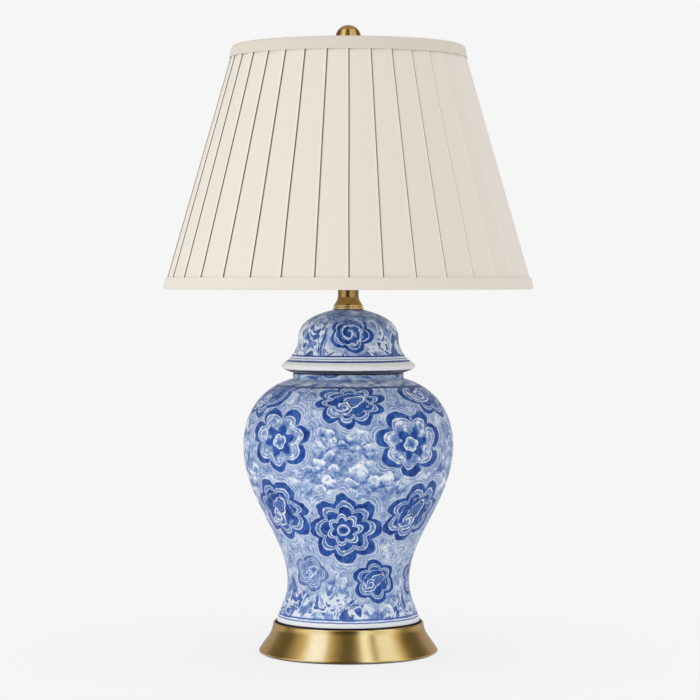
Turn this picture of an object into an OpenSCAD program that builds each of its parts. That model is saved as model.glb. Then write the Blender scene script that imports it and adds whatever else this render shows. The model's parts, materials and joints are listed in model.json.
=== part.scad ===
// Table lamp: a lidded ceramic jar on a spun brass base, and a knife-pleated shade hung from a harp.
// Millimetres, +Z up. The origin is the middle of the felt pad's underside, on the table.

/* [Brass base] */
// Widest diameter of the flared brass base
base_d = 199.4; // [194:0.2:206]
// Height of the brass above its felt pad
base_h = 33.8; // [32:0.2:38]
// Thickness of the spun brass
base_wall = 1.3; // [1:0.1:1.6]
// Depth of the recess that holds the jar's foot
base_recess = 3.3; // [2.7:0.1:5]
// Open gap between the jar's foot and the brass rim round it
rim_gap = 1.6; // [1:0.1:2.4]
// Width of the flange turned in under the base
base_flange_w = 8; // [5:0.5:12]
// Radius of the base's lower edge
base_edge_r = 2.2; // [1.8:0.1:3]
// Thickness of the felt pad glued under the base
pad_t = 1.5; // [1:0.1:2.5]
// Distance that the felt pad stands back from the base's edge
pad_inset = 4; // [3:0.5:6]
// Height of the cord outlet's axis above the table
outlet_h = 18; // [16:0.5:20]
// Diameter of the cord's hole through its bushing
cord_hole_d = 7; // [5:0.5:8]
// Wall of the cord bushing
bushing_wall = 1.8; // [1.4:0.1:2.4]

/* [Ceramic jar] */
// Height of the jar from its foot to its mouth
jar_h = 279.5; // [272:0.5:288]
// Diameter of the jar's foot
jar_foot_d = 159.2; // [154:0.2:163]
// Height of the straight band at the foot
jar_foot_h = 4.5; // [3:0.5:8]
// Diameter of the narrow waist over the foot
jar_waist_d = 135.6; // [130:0.2:142]
// Height of the waist over the foot's underside
jar_waist_h = 48.5; // [42:0.5:56]
// Diameter of the jar's belly
jar_belly_d = 233.7; // [226:0.1:240]
// Height of the belly over the foot's underside
jar_belly_h = 198.5; // [188:0.5:208]
// Height at which the shoulder meets the neck
jar_shoulder_h = 272.7; // [268:0.1:274]
// Outer diameter of the jar's neck
jar_neck_d = 123; // [118:0.5:126]
// Wall of the jar
jar_wall = 6; // [5:0.25:7]
// Thickness of the jar's floor
jar_floor = 7; // [5:0.5:10]
// Width of the ring that the jar stands on
foot_ring_w = 9; // [6:0.5:14]
// Height of the hollow inside that ring
foot_ring_h = 3; // [2:0.5:4]
// Thickness of the rubber ring under the jar's foot
gasket_t = 1.5; // [1:0.1:2.5]
// Height of that ring's upturned edge over the brass rim round it
gasket_rise = 1.8; // [0.8:0.1:2.4]

/* [Ceramic lid] */
// Height of the lid over the jar's mouth
lid_h = 69.6; // [66:0.2:74]
// Diameter of the lid's rolled rim
lid_rim_d = 149.2; // [145:0.2:154]
// Height of the rolled rim, from the jar's mouth to the foot of the flare
lid_rim_h = 14.8; // [13:0.2:17]
// Diameter of the lid's dome where its sides are upright
lid_dome_d = 112; // [108:0.2:115]
// Height of that place over the jar's mouth
lid_dome_h = 36; // [33:0.5:39]
// Wall of the lid
lid_wall = 5.5; // [4.5:0.25:6.5]
// Depth of the ring that drops into the jar's neck
lid_ring_h = 12; // [8:0.5:16]
// Thickness of that ring
lid_ring_t = 4.4; // [3.4:0.2:5]
// Clearance between that ring and the jar's neck
lid_ring_gap = 0.6; // [0.4:0.1:0.9]

/* [Neck and pipe] */
// Diameter of the cap at the foot of the brass neck
cap_d = 34.2; // [32:0.2:38]
// Height of that cap
cap_h = 14.1; // [12:0.1:17]
// Height of each of the two beads round the cap's foot
bead_h = 3; // [2.4:0.1:3.6]
// Diameter of the brass neck tube
neck_d = 23.2; // [21:0.1:25]
// Length of the brass neck tube
neck_h = 30.2; // [24:0.2:36]
// Wall of the cap and the neck tube
neck_wall = 1.2; // [0.9:0.1:1.6]
// Diameter of the check ring on top of the neck
check_d = 27; // [25:0.5:30]
// Thickness of the check ring
check_h = 3.5; // [2.5:0.1:5]
// Outer diameter of the threaded lamp pipe
pipe_d = 10.2; // [9.6:0.1:10.8]
// Bore of the lamp pipe
pipe_bore_d = 6.8; // [6:0.1:7.4]
// Diameter of the steel washer under the base's floor
washer_d = 44; // [38:0.5:52]
// Thickness of that washer
washer_t = 1.5; // [1:0.1:2.5]
// Width of the hexagonal nut across its flats
nut_w = 16; // [15:0.5:18]
// Height of the nut
nut_h = 5; // [4:0.5:6]

/* [Harp] */
// Height of the harp from the underside of its saddle to the seat of the shade
harp_h = 228.6; // [220:0.2:240]
// Widest outer width of the harp
harp_w = 118; // [112:0.5:124]
// Diameter of the harp's wire
harp_wire_d = 3.6; // [3:0.1:4]
// Distance between the middles of the harp's two feet
harp_foot_pitch = 62; // [58:0.5:66]
// Thickness of the harp's saddle
saddle_t = 1.6; // [1.2:0.1:2.2]
// Width of the saddle's arms at their ends
saddle_w = 9; // [8:0.5:11]
// Diameter of each sliding sleeve on the harp's feet
sleeve_d = 7.6; // [7:0.1:8.6]
// Length of each sliding sleeve
sleeve_h = 13; // [11:0.5:15]
// Distance that a sleeve slides up to free the harp
sleeve_travel = 12; // [10:0.5:14]
// Diameter of the threaded stud on top of the harp
stud_d = 6.35; // [6:0.05:6.6]
// Length of that stud over the shade's seat
stud_h = 13; // [11:0.5:15]

/* [Socket and switch] */
// Height of the lamp socket over the harp's saddle
socket_h = 58; // [55:0.5:62]
// Diameter of the socket's brass shell
socket_d = 33; // [32.6:0.1:36]
// Height of the socket's lower cap
socket_cap_h = 19; // [17:0.5:20]
// Wall of the socket's brass pieces
socket_wall = 0.8; // [0.6:0.1:1]
// Thickness of the insulating sleeve in the shell
sleeve_t = 0.5; // [0.4:0.1:0.7]
// Height of the switch's axis over the socket's underside
switch_h = 24.5; // [24:0.1:25]
// Diameter of the switch's shaft
shaft_d = 4; // [3.6:0.1:4.6]
// Diameter of the switch's knob
knob_d = 12.5; // [11:0.5:14]
// Length of the switch's knob
knob_h = 16; // [13:0.5:19]
// Number of flutes round the knob
knob_flutes = 10; // [8:1:12]

/* [Bulb] */
// Diameter of the bulb's glass
bulb_d = 60; // [55:0.5:66]
// Height of the bulb from its contact to its crown
bulb_h = 108; // [102:0.5:114]
// Outer diameter of the bulb's screw thread
bulb_thread_d = 26; // [25.6:0.1:26.2]
// Pitch of the bulb's screw thread
bulb_pitch = 3.63; // [3.5:0.01:3.7]

/* [Shade] */
// Diameter over the pleats at the shade's top rim
shade_top_d = 254.8; // [246:0.2:264]
// Diameter over the pleats at the shade's bottom rim
shade_bottom_d = 411.2; // [400:0.2:420]
// Height of the shade between its two rims
shade_h = 270.2; // [262:0.2:278]
// Number of knife pleats
pleats = 35; // [24:1:44]
// Height of each pleat's fold over the next panel
pleat_depth = 1.4; // [1:0.1:1.8]
// Thickness of the pleated fabric
fabric_t = 0.5; // [0.4:0.1:0.8]
// Thickness of the stiff lining
lining_t = 0.6; // [0.5:0.1:1]
// Diameter of the wire of the shade's rings
ring_wire_d = 3; // [2.6:0.1:3.4]
// Height of the fabric band round the top rim
top_band_h = 14; // [11:0.5:18]
// Height of the fabric band round the bottom rim
bottom_band_h = 13; // [11:0.5:18]
// Thickness of the fabric bands
band_t = 0.8; // [0.6:0.1:1]
// Depth of the shade's seat under its top rim
spider_drop = 16.6; // [14:0.2:20]
// Diameter of the three spider arms
spider_wire_d = 3.2; // [2.8:0.1:3.6]
// Diameter of the spider's middle plate
plate_d = 30; // [27:0.5:34]
// Diameter of the hole in that plate
plate_hole_d = 11.1; // [10:0.1:11.5]
// Thickness of that plate
plate_t = 1.5; // [1.2:0.1:2]

/* [Finial] */
// Diameter of the finial's ball
ball_d = 28.6; // [26:0.2:31]
// Height of the finial
finial_h = 38; // [36:0.2:41]
// Diameter of the finial's foot
finial_foot_d = 19; // [18:0.5:21]

/* [Hidden] */
$fn = 96;

brass = [0.72, 0.56, 0.27];
steel = [0.62, 0.63, 0.65];
cobalt = [0.35, 0.47, 0.75];
cream = [0.88, 0.84, 0.77];
white = [0.94, 0.94, 0.92];
dark = [0.12, 0.1, 0.09];

steps = 12;            // segments of each curve of a profile
slack = 0.15;          // clearance of a piece pushed into or over another
hole_slack = 0.8;      // clearance of the lamp pipe in the holes that it only passes through
run_slack = 0.05;      // clearance of a shaft in its bearing
thin = 0.3;            // clearance of faces that move past each other
swell = 0.04;          // how far the drop of weld between two lengths of wire stands out

// Points of a cubic curve from a to b. The shares u and v place its handles in the box from a to b.
function curve(a, b, u, v, n = steps) =
    let (d = b - a, p = a + [u[0] * d[0], u[1] * d[1]], q = a + [v[0] * d[0], v[1] * d[1]])
    [for (i = [0:n]) let (t = i / n, s = 1 - t)
        s * s * s * a + 3 * s * s * t * p + 3 * s * t * t * q + t * t * t * b];
// Points of an arc about c from angle a0 to angle a1.
function arc(c, r, a0, a1, n = 6) =
    [for (i = [0:n]) let (a = a0 + (a1 - a0) * i / n) c + r * [cos(a), sin(a)]];
function tail(path) = [for (i = [1:len(path) - 1]) path[i]];
function reversed(path) = [for (i = [len(path) - 1:-1:0]) path[i]];
function unit(v) = v / norm(v);
function left_of(v) = [-v[1], v[0]];
// The path moved d to its left, with mitred corners.
function beside(path, d) = [for (i = [0:len(path) - 1])
    let (j = max(i, 1), k = min(i + 1, len(path) - 1),
         m = left_of(unit(path[j] - path[j - 1])), n = left_of(unit(path[k] - path[k - 1])))
    path[i] + (m + n) * d / (1 + m * n)];
function below(path, z) = [for (p = path) if (p[1] < z) p];
function above(path, z) = [for (p = path) if (p[1] > z) p];

// Heights over the table, each stacked on the one under it.
base_top = pad_t + base_h;
seat_z = base_top - base_recess;
jar_z = seat_z + gasket_t;
mouth_z = jar_z + jar_h;
lid_top = mouth_z + lid_h;
neck_z = lid_top + cap_h;
check_z = neck_z + neck_h;
saddle_z = check_z + check_h;
socket_z = saddle_z + saddle_t;
shade_seat = saddle_z + harp_h;
finial_z = shade_seat + plate_t;
rim_z = shade_seat + spider_drop;
hem_z = rim_z - shade_h;

pipe_r = pipe_d / 2;
pipe_hole_r = pipe_r + hole_slack;
thread_r = pipe_r + slack;

module turned(profile) {
    rotate_extrude() polygon(profile);
}

// The drop of weld that closes a wire where a straight length meets a bend.
module weld(wire_d) {
    sphere(r = wire_d / 2 + swell);
}

module tube(r_out, r_in, h) {
    difference() {
        cylinder(r = r_out, h = h);
        translate([0, 0, -1]) cylinder(r = r_in, h = h + 2);
    }
}

// The brass base: a spun shell with a flared skirt, a folded lip and a recessed floor.
foot_r = jar_foot_d / 2;
rim_in = foot_r + rim_gap;
lip_r = base_wall;
rim_r = rim_in + 2 * lip_r;
base_r = base_d / 2;
flare = curve([base_r, pad_t + base_edge_r], [rim_r, base_top - lip_r], [0.46, 0.42], [0.92, 0.55]);
skirt = concat(
    [[base_r - base_flange_w, pad_t]],
    arc([base_r - base_edge_r, pad_t + base_edge_r], base_edge_r, -90, 0),
    tail(flare));
lip = arc([rim_r - lip_r, base_top - lip_r], lip_r, 0, 180, 8);
skirt_inside = concat(below(beside(skirt, base_wall), seat_z - base_wall - 0.5),
    [[rim_r - base_wall, seat_z - base_wall]]);
// The skirt's outer radius at a height.
function skirt_r(z) = lookup(z, [for (p = flare) [p[1], p[0]]]);

bushing_r = cord_hole_d / 2 + bushing_wall;
bushing_collar_r = bushing_r + 1.6;
bushing_collar_t = 1.6;
bushing_end = skirt_r(outlet_h - bushing_r) + 1;
collar_end = skirt_r(outlet_h + bushing_collar_r) - base_wall - thin - 0.4;

module toward_back(z) {
    translate([0, 0, z]) rotate([-90, 0, 0]) children();
}

module felt_pad() {
    color(dark) cylinder(r = base_r - pad_inset, h = pad_t);
}

module base() {
    color(brass) difference() {
        turned(concat(skirt, tail(lip), [[rim_in, seat_z], [pipe_hole_r, seat_z],
            [pipe_hole_r, seat_z - base_wall]], reversed(skirt_inside)));
        toward_back(outlet_h) translate([0, 0, rim_in / 2]) cylinder(r = bushing_r + slack, h = base_r);
    }
}

module cord_bushing() {
    color(dark) toward_back(outlet_h) difference() {
        union() {
            translate([0, 0, collar_end - bushing_collar_t])
                cylinder(r = bushing_r, h = bushing_end - collar_end + bushing_collar_t);
            translate([0, 0, collar_end - bushing_collar_t])
                cylinder(r = bushing_collar_r, h = bushing_collar_t);
        }
        cylinder(r = cord_hole_d / 2, h = base_r);
    }
}

// The rubber ring that the jar's foot stands on. Its upturned edge fills the gap inside the brass rim.
module foot_gasket() {
    bore = foot_r - foot_ring_w + 1;
    edge_r = (rim_gap - 2 * slack) / 2;
    middle = foot_r + slack + edge_r;
    color(dark) turned(concat(
        [[bore, seat_z], [middle + edge_r, seat_z]],
        arc([middle, base_top + gasket_rise - edge_r], edge_r, 0, 180),
        [[middle - edge_r, jar_z], [bore, jar_z]]));
}

// What holds the stack from below: a washer, a split lock washer and a nut on the pipe.
washer_z = seat_z - base_wall - washer_t;
lock_t = 1.2;
lock_z = washer_z - lock_t;
nut_z = lock_z - nut_h;
pipe_foot = nut_z - 2;

module base_washer() {
    color(steel) translate([0, 0, washer_z]) tube(washer_d / 2, pipe_hole_r, washer_t);
}

module base_lock_washer() {
    color(steel) translate([0, 0, lock_z]) difference() {
        tube(pipe_r + 3, thread_r, lock_t);
        translate([pipe_r, -0.4, -1]) cube([6, 0.8, lock_t + 2]);
    }
}

module base_nut() {
    color(steel) translate([0, 0, nut_z]) difference() {
        cylinder(r = nut_w / sqrt(3), h = nut_h, $fn = 6);
        translate([0, 0, -1]) cylinder(r = thread_r, h = nut_h + 2);
    }
}

socket_hub_h = 6;

module lamp_pipe() {
    color(steel) translate([0, 0, pipe_foot])
        tube(pipe_r, pipe_bore_d / 2, socket_z + socket_hub_h - pipe_foot);
}

// The jar: foot, waist, belly, shoulder and neck in one thrown wall.
waist = [jar_waist_d / 2, jar_waist_h];
belly = [jar_belly_d / 2, jar_belly_h];
neck_foot = [jar_neck_d / 2, jar_shoulder_h];
jar_outside = concat(
    [[foot_r, jar_foot_h]],
    tail(curve([foot_r, jar_foot_h], waist, [0.45, 0.37], [1, 0.57])),
    tail(curve(waist, belly, [0, 0.32], [1, 0.6])),
    tail(curve(belly, neck_foot, [0, 0.49], [0.354, 0.877])),
    [[jar_neck_d / 2, jar_h]]);

module jar() {
    color(cobalt) translate([0, 0, jar_z]) turned(concat(
        [[pipe_hole_r, foot_ring_h], [foot_r - foot_ring_w, foot_ring_h], [foot_r - foot_ring_w, 0],
         [foot_r, 0]],
        jar_outside,
        reversed(above(beside(jar_outside, jar_wall), foot_ring_h + jar_floor + 2)),
        [[waist[0] - jar_wall, foot_ring_h + jar_floor], [pipe_hole_r, foot_ring_h + jar_floor]]));
}

// The lid: a ring inside the neck, a rolled rim, a flare, and a dome with a flat top for the cap.
lid_nose = [lid_rim_d / 2, lid_rim_h * 0.486];
rim_top = [lid_nose[0] - 8.7, lid_rim_h];
dome_foot = [lid_dome_d / 2, lid_dome_h];
dome_top = [cap_d / 2, lid_h];
lid_ring_r = jar_neck_d / 2 - jar_wall - lid_ring_gap;
dome = curve(dome_foot, dome_top, [0, 0.586], [0.391, 0.815]);
lid_outside = concat(
    curve([jar_neck_d / 2 + 0.8, 0], lid_nose, [0.42, 0.22], [1, 0.58]),
    tail(curve(lid_nose, rim_top, [0, 0.37], [0.59, 0.63])),
    tail(curve(rim_top, dome_foot, [0.495, 0.29], [1, 0.62])),
    tail(dome));

module lid() {
    color(cobalt) translate([0, 0, mouth_z]) turned(concat(
        [[lid_ring_r - lid_ring_t, -lid_ring_h], [lid_ring_r, -lid_ring_h], [lid_ring_r, 0]],
        lid_outside,
        [[pipe_hole_r, lid_h], [pipe_hole_r, lid_h - lid_wall]],
        reversed(beside(dome, lid_wall)),
        [[lid_ring_r - lid_ring_t, lid_rim_h]]));
}

// The brass neck: a beaded cap, a plain tube and a check ring that is screwed down on it.
cap_r = cap_d / 2;
neck_r = neck_d / 2;
bead_r = bead_h / 2;
bead_step = 0.7;       // how far the upper bead stands back from the lower one
flare_r = cap_r - bead_step - 0.2;
cap_flare = curve([flare_r, 2 * bead_h - 0.8], [neck_r + 0.2, cap_h], [0.4, 0.25], [1, 0.7]);

module neck_cap() {
    ledge_r = neck_r - 2.5 * neck_wall;
    hollow_r = cap_r - 2 * bead_step - bead_h;
    color(brass) translate([0, 0, lid_top]) turned(concat(
        [[flare_r - bead_r, 0]],
        arc([cap_r - bead_r, bead_r], bead_r, -90, 90),
        tail(arc([cap_r - bead_step - bead_r, bead_h * 1.45], bead_r, -60, 50)),
        tail(cap_flare),
        [[ledge_r, cap_h], [ledge_r, cap_h - neck_wall]],
        [for (p = reversed(above(beside(cap_flare, neck_wall), 2 * bead_h)))
            if (p[1] < cap_h - 2 * neck_wall) p],
        [[hollow_r, bead_h], [hollow_r, 0]]));
}

module neck_tube() {
    color(brass) translate([0, 0, neck_z]) tube(neck_r, neck_r - neck_wall, neck_h);
}

module check_ring() {
    color(brass) translate([0, 0, check_z]) turned(concat(
        [[thread_r, 0]],
        arc([check_d / 2 - check_h / 2, check_h / 2], check_h / 2, -90, 90),
        [[thread_r, check_h]]));
}

// The harp: a saddle on the pipe, a wire bow that stands on its pegs, and a stud for the shade.
foot_x = harp_foot_pitch / 2;
peg_h = 8;
block_r = 5;
block_h = 7;
seat_flange_r = 8.5;
seat_flange_t = 2.5;
rivet_d = 4;
wire_top = shade_seat - seat_flange_t - block_h / 2;
leg_z = socket_z + peg_h;
leg_h = sleeve_h - peg_h + sleeve_travel + 3;
bend_r = 12;
crown_r = harp_w / 2 - harp_wire_d / 2 - block_r / 2;
bow_h = wire_top - leg_z;
// Length of the straight side of the bow when it leans out by angle a.
function side_h(a) = (bow_h - leg_h - (bend_r + crown_r) * sin(a) - crown_r) / cos(a);
// How far the crown then misses the middle block.
function miss(a) = foot_x + bend_r * (1 - cos(a)) + side_h(a) * sin(a) - crown_r * cos(a) - block_r / 2;
function lean(lo = 0, hi = 40, n = 24) =
    let (a = (lo + hi) / 2) n == 0 ? a : miss(a) < 0 ? lean(a, hi, n - 1) : lean(lo, a, n - 1);

module harp_saddle() {
    color(steel) translate([0, 0, saddle_z]) {
        difference() {
            union() {
                cylinder(r = check_d / 2 - 2, h = saddle_t);
                translate([-foot_x, -saddle_w / 2, 0]) cube([2 * foot_x, saddle_w, saddle_t]);
                for (side = [-1, 1])
                    translate([side * foot_x, 0, 0]) cylinder(r = saddle_w / 2, h = saddle_t);
            }
            translate([0, 0, -1]) cylinder(r = thread_r, h = saddle_t + 2);
        }
        for (side = [-1, 1])
            translate([side * foot_x, 0, saddle_t / 2]) cylinder(d = harp_wire_d, h = saddle_t / 2 + peg_h);
    }
}

// One side of the bow, drawn in the XY plane with +Y up and its foot at the origin's height.
module bow_side(a) {
    knee = [foot_x + bend_r * (1 - cos(a)), leg_h + bend_r * sin(a)];
    elbow = knee + side_h(a) * [sin(a), cos(a)];
    for (p = [[foot_x, leg_h], knee, elbow]) translate([p[0], p[1], 0]) weld(harp_wire_d);
    translate([foot_x, 0, 0]) rotate([-90, 0, 0]) cylinder(d = harp_wire_d, h = leg_h);
    translate([foot_x + bend_r, leg_h, 0]) rotate([0, 0, 180 - a])
        rotate_extrude(angle = a) translate([bend_r, 0]) circle(d = harp_wire_d);
    translate([knee[0], knee[1], 0]) rotate([0, 0, -a]) rotate([-90, 0, 0])
        cylinder(d = harp_wire_d, h = side_h(a));
    translate([elbow[0] - crown_r * cos(a), elbow[1] + crown_r * sin(a), 0]) rotate([0, 0, -a])
        rotate_extrude(angle = 90 + a) translate([crown_r, 0]) circle(d = harp_wire_d);
}

module harp_bow() {
    a = lean();
    color(steel) difference() {
        union() {
            translate([0, 0, leg_z]) rotate([90, 0, 0]) bow_side(a);
            mirror([1, 0, 0]) translate([0, 0, leg_z]) rotate([90, 0, 0]) bow_side(a);
            translate([0, 0, wire_top - block_h / 2]) cylinder(r = block_r, h = block_h);
        }
        translate([0, 0, wire_top - block_h]) cylinder(d = rivet_d + 2 * run_slack, h = 2 * block_h);
    }
}

module harp_stud() {
    color(steel) translate([0, 0, shade_seat]) {
        cylinder(d = stud_d, h = stud_h);
        translate([0, 0, -seat_flange_t]) cylinder(r = seat_flange_r, h = seat_flange_t);
        translate([0, 0, -seat_flange_t - block_h]) cylinder(d = rivet_d, h = block_h + 1);
        translate([0, 0, -seat_flange_t - block_h - 1]) cylinder(d = rivet_d + 2, h = 1);
    }
}

module harp_sleeve(side) {
    bore = harp_wire_d / 2 + 0.2;
    color(steel) translate([side * foot_x, 0, socket_z]) turned([
        [bore, 0], [sleeve_d / 2 - 0.6, 0], [sleeve_d / 2, 0.6], [sleeve_d / 2, sleeve_h - 4],
        [bore + 0.8, sleeve_h], [bore, sleeve_h]]);
}

// The socket: a cap on the pipe's thread, a shell pushed into it, and the moulded body inside.
socket_r = socket_d / 2;
socket_cap_r = socket_r + slack + socket_wall;
hub_r = pipe_r + 3.2;
cap_overlap = 6;
insulator_r = socket_r - socket_wall - slack;
body_r = insulator_r - sleeve_t - slack;
body_z = 12.5;
body_top = 31;
contact_t = 2.2;
switch_hole_r = shaft_d / 2 + 1.6;
bowl_top = socket_cap_h - cap_overlap;
shell_z = bowl_top + thin;
bowl = curve([hub_r, socket_hub_h - 1], [socket_cap_r, bowl_top], [0.7, 0.05], [1, 0.5]);
screw_z = socket_hub_h / 2;

module toward_front(z) {
    translate([0, 0, z]) rotate([90, 0, 0]) children();
}

module socket_cap() {
    color(brass) translate([0, 0, socket_z]) difference() {
        turned(concat(
            [[thread_r, 0], [hub_r, 0]],
            bowl,
            [[socket_cap_r, socket_cap_h], [socket_cap_r - socket_wall, socket_cap_h]],
            reversed(beside(bowl, socket_wall)),
            [[thread_r, socket_hub_h - 1 + socket_wall]]));
        toward_front(screw_z) cylinder(d = 3, h = hub_r + 2);
    }
}

module socket_set_screw() {
    color(steel) translate([0, 0, socket_z]) toward_front(screw_z) difference() {
        translate([0, 0, pipe_r + slack / 2]) cylinder(d = 3 - 2 * slack, h = 5);
        translate([-2, -0.4, pipe_r + slack / 2 + 4.2]) cube([4, 0.8, 2]);
    }
}

module socket_shell() {
    color(brass) translate([0, 0, socket_z]) difference() {
        union() {
            translate([0, 0, shell_z]) cylinder(r = socket_r, h = socket_h - shell_z);
            translate([0, 0, socket_h - 1.2]) rotate_extrude() translate([socket_r - 0.4, 0]) circle(r = 0.9);
        }
        cylinder(r = socket_r - socket_wall, h = socket_h + 2);
        toward_front(switch_h) cylinder(r = switch_hole_r, h = socket_d);
    }
}

module socket_insulator() {
    color(dark) translate([0, 0, socket_z]) difference() {
        translate([0, 0, shell_z]) tube(insulator_r, insulator_r - sleeve_t, socket_h - shell_z - 1);
        toward_front(switch_h) cylinder(r = switch_hole_r, h = socket_d);
    }
}

module socket_body() {
    color(dark) translate([0, 0, socket_z]) difference() {
        translate([0, 0, body_z]) cylinder(r = body_r, h = body_top - body_z);
        toward_front(switch_h) translate([0, 0, 4]) cylinder(r = shaft_d / 2 + run_slack, h = body_r);
        for (side = [-1, 1]) translate([0, 0, body_z + 5]) rotate([0, side * 90, 0])
            translate([0, 0, body_r - 3]) cylinder(r = 4, h = 6);
    }
}

// Half the height of a thread's wave at a height over its first crest.
thread_depth = 0.75;
function wave(z) = thread_depth / 2 * cos(360 * z / bulb_pitch);
thread_turns = 5;
function thread_path(r) = [for (i = [0:thread_turns * 8]) let (z = i * bulb_pitch / 8)
    [r - thread_depth / 2 + wave(z), z]];
thread_z = body_top + 7.3;

module screw_shell() {
    path = thread_path(bulb_thread_d / 2 + thin + 0.1);
    r = path[0][0];
    color(steel) translate([0, 0, socket_z]) turned(concat(
        [for (p = path) p + [0.5, thread_z]],
        [for (p = reversed(path)) p + [0, thread_z]],
        [[r, body_top + 0.6], [6, body_top + 0.6], [6, body_top], [r + 0.5, body_top]]));
}

module centre_contact() {
    color(brass) translate([0, 0, socket_z + body_top]) {
        cylinder(r = 3, h = contact_t);
        translate([-1.5, -5, 0]) cube([3, 4, 0.6]);
    }
}

module terminal_screws() {
    color(steel) for (side = [-1, 1])
        translate([0, 0, socket_z + body_z + 5]) rotate([0, side * 90, 0]) difference() {
            translate([0, 0, body_r - 3]) cylinder(r = 3.2, h = 1.8);
            translate([-4, -0.4, body_r - 1.8]) cube([8, 0.8, 2]);
        }
}

knob_z = socket_cap_r + 3;

module switch_shaft() {
    color(brass) translate([0, 0, socket_z]) toward_front(switch_h) {
        translate([0, 0, 4.5]) cylinder(d = shaft_d, h = knob_z + knob_h - 7.5);
    }
}

// The knob's outline: a round with shallow flutes cut into it.
module switch_knob() {
    flute_r = PI * knob_d / knob_flutes / 4;
    color(dark) translate([0, 0, socket_z]) toward_front(switch_h) translate([0, 0, knob_z]) difference() {
        turned([[0, 0], [knob_d / 2 - 1.6, 0], [knob_d / 2 - 0.6, 1], [knob_d / 2, 3],
            [knob_d / 2, knob_h - 1.2], [knob_d / 2 - 1.2, knob_h], [0, knob_h]]);
        translate([0, 0, -1]) cylinder(r = shaft_d / 2 + slack / 2, h = knob_h - 1.8);
        for (i = [0:knob_flutes - 1]) rotate([0, 0, 360 * i / knob_flutes])
            translate([knob_d / 2 + flute_r * 0.4, 0, 3.5]) cylinder(r = flute_r, h = knob_h);
    }
}

// The bulb: a contact, a black insulator, a screw cap and a pear of glass.
bulb_z = socket_z + body_top + contact_t;
contact_r = 4.5;
contact_h = 1.6;
insulator_h = 3.5;
thread_foot = socket_z + thread_z - bulb_z;
cap_top = thread_foot + thread_turns * bulb_pitch + 1.5;
glass_r = bulb_thread_d / 2 - 0.6;
pear = concat(
    curve([glass_r, cap_top], [bulb_d / 2, bulb_h - bulb_d / 2], [0.05, 0.45], [1, 0.45]),
    tail(arc([0, bulb_h - bulb_d / 2], bulb_d / 2, 0, 90, 12)));

module bulb_contact() {
    color(brass) translate([0, 0, bulb_z]) turned([[0, 0.3], [contact_r - 1.5, 0.3],
        [contact_r, contact_h - 0.4], [contact_r, contact_h], [0, contact_h]]);
}

module bulb_insulator() {
    color(dark) translate([0, 0, bulb_z + contact_h]) cylinder(r1 = contact_r + 1, r2 = 9.6, h = insulator_h);
}

module bulb_screw_cap() {
    path = thread_path(bulb_thread_d / 2);
    color(steel) translate([0, 0, bulb_z]) turned(concat(
        [[0, contact_h + insulator_h], [9.8, contact_h + insulator_h]],
        [for (p = path) p + [0, thread_foot]],
        [[glass_r + 0.3, cap_top - 0.6], [glass_r + 0.3, cap_top], [0, cap_top]]));
}

module bulb_glass() {
    inside = [for (p = beside(pear, 1)) if (p[0] > 0.1) p];
    color(white) translate([0, 0, bulb_z]) turned(concat(
        pear, [[0, bulb_h - 1]], reversed(inside)));
}

// Radii of the shade's layers at a height: the folds, the panels under them, and the lining.
function fold_r(z) = (shade_top_d + (shade_bottom_d - shade_top_d) * (rim_z - z) / shade_h) / 2;
function panel_r(z) = fold_r(z) - pleat_depth;
function lining_r(z) = panel_r(z) - fabric_t - 2 * slack;
shade_slope = atan((shade_bottom_d - shade_top_d) / 2 / shade_h);
ring_r = ring_wire_d / 2;
band_round = ring_r + slack + band_t;
lining_edge = band_t + 1;
// Radius of a ring's own circle, so that it lies against the lining.
function hoop_r(z) = lining_r(z) - lining_t - (ring_r + slack) / cos(shade_slope);
top_hoop_z = rim_z - band_round;
bottom_hoop_z = hem_z + band_round;

module hoop(z) {
    translate([0, 0, z]) rotate_extrude() translate([hoop_r(z), 0]) circle(r = ring_r);
}

module shade_top_ring() {
    color(steel) hoop(top_hoop_z);
}

module shade_bottom_ring() {
    color(steel) hoop(bottom_hoop_z);
}

// Three arms run out flat from the plate, turn up and end against the top ring.
arm_count = 3;
arm_z = shade_seat + spider_wire_d / 2;
arm_bend_r = 14;
arm_rise = 40;
arm_up = top_hoop_z - arm_z;
arm_slant = (arm_up - arm_bend_r * (1 - cos(arm_rise))) / sin(arm_rise);
arm_flat = hoop_r(top_hoop_z) - arm_slant * cos(arm_rise) - arm_bend_r * sin(arm_rise);
arm_start = plate_d / 2 - 3;

module arm_slope(d) {
    translate([arm_flat + arm_bend_r * sin(arm_rise), 0, arm_bend_r * (1 - cos(arm_rise))])
        rotate([0, 90 - arm_rise, 0]) cylinder(d = d, h = arm_slant);
}

module each_arm() {
    for (i = [0:arm_count - 1]) translate([0, 0, arm_z]) rotate([0, 0, 90 + 360 * i / arm_count])
        children();
}

module spider_arm() {
    translate([arm_start, 0, 0]) rotate([0, 90, 0]) cylinder(d = spider_wire_d, h = arm_flat - arm_start);
    translate([arm_flat, 0, arm_bend_r]) rotate([90, 0, 0]) rotate([0, 0, -90])
        rotate_extrude(angle = arm_rise) translate([arm_bend_r, 0]) circle(d = spider_wire_d);
    arm_slope(spider_wire_d);
    translate([arm_flat, 0, 0]) weld(spider_wire_d);
    translate([arm_flat + arm_bend_r * sin(arm_rise), 0, arm_bend_r * (1 - cos(arm_rise))])
        weld(spider_wire_d);
}

module shade_spider() {
    color(steel) difference() {
        union() {
            translate([0, 0, shade_seat]) cylinder(d = plate_d, h = plate_t);
            each_arm() spider_arm();
        }
        translate([0, 0, shade_seat - 1]) cylinder(d = plate_hole_d, h = plate_t + 2);
        hoop(top_hoop_z);
    }
}

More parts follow.
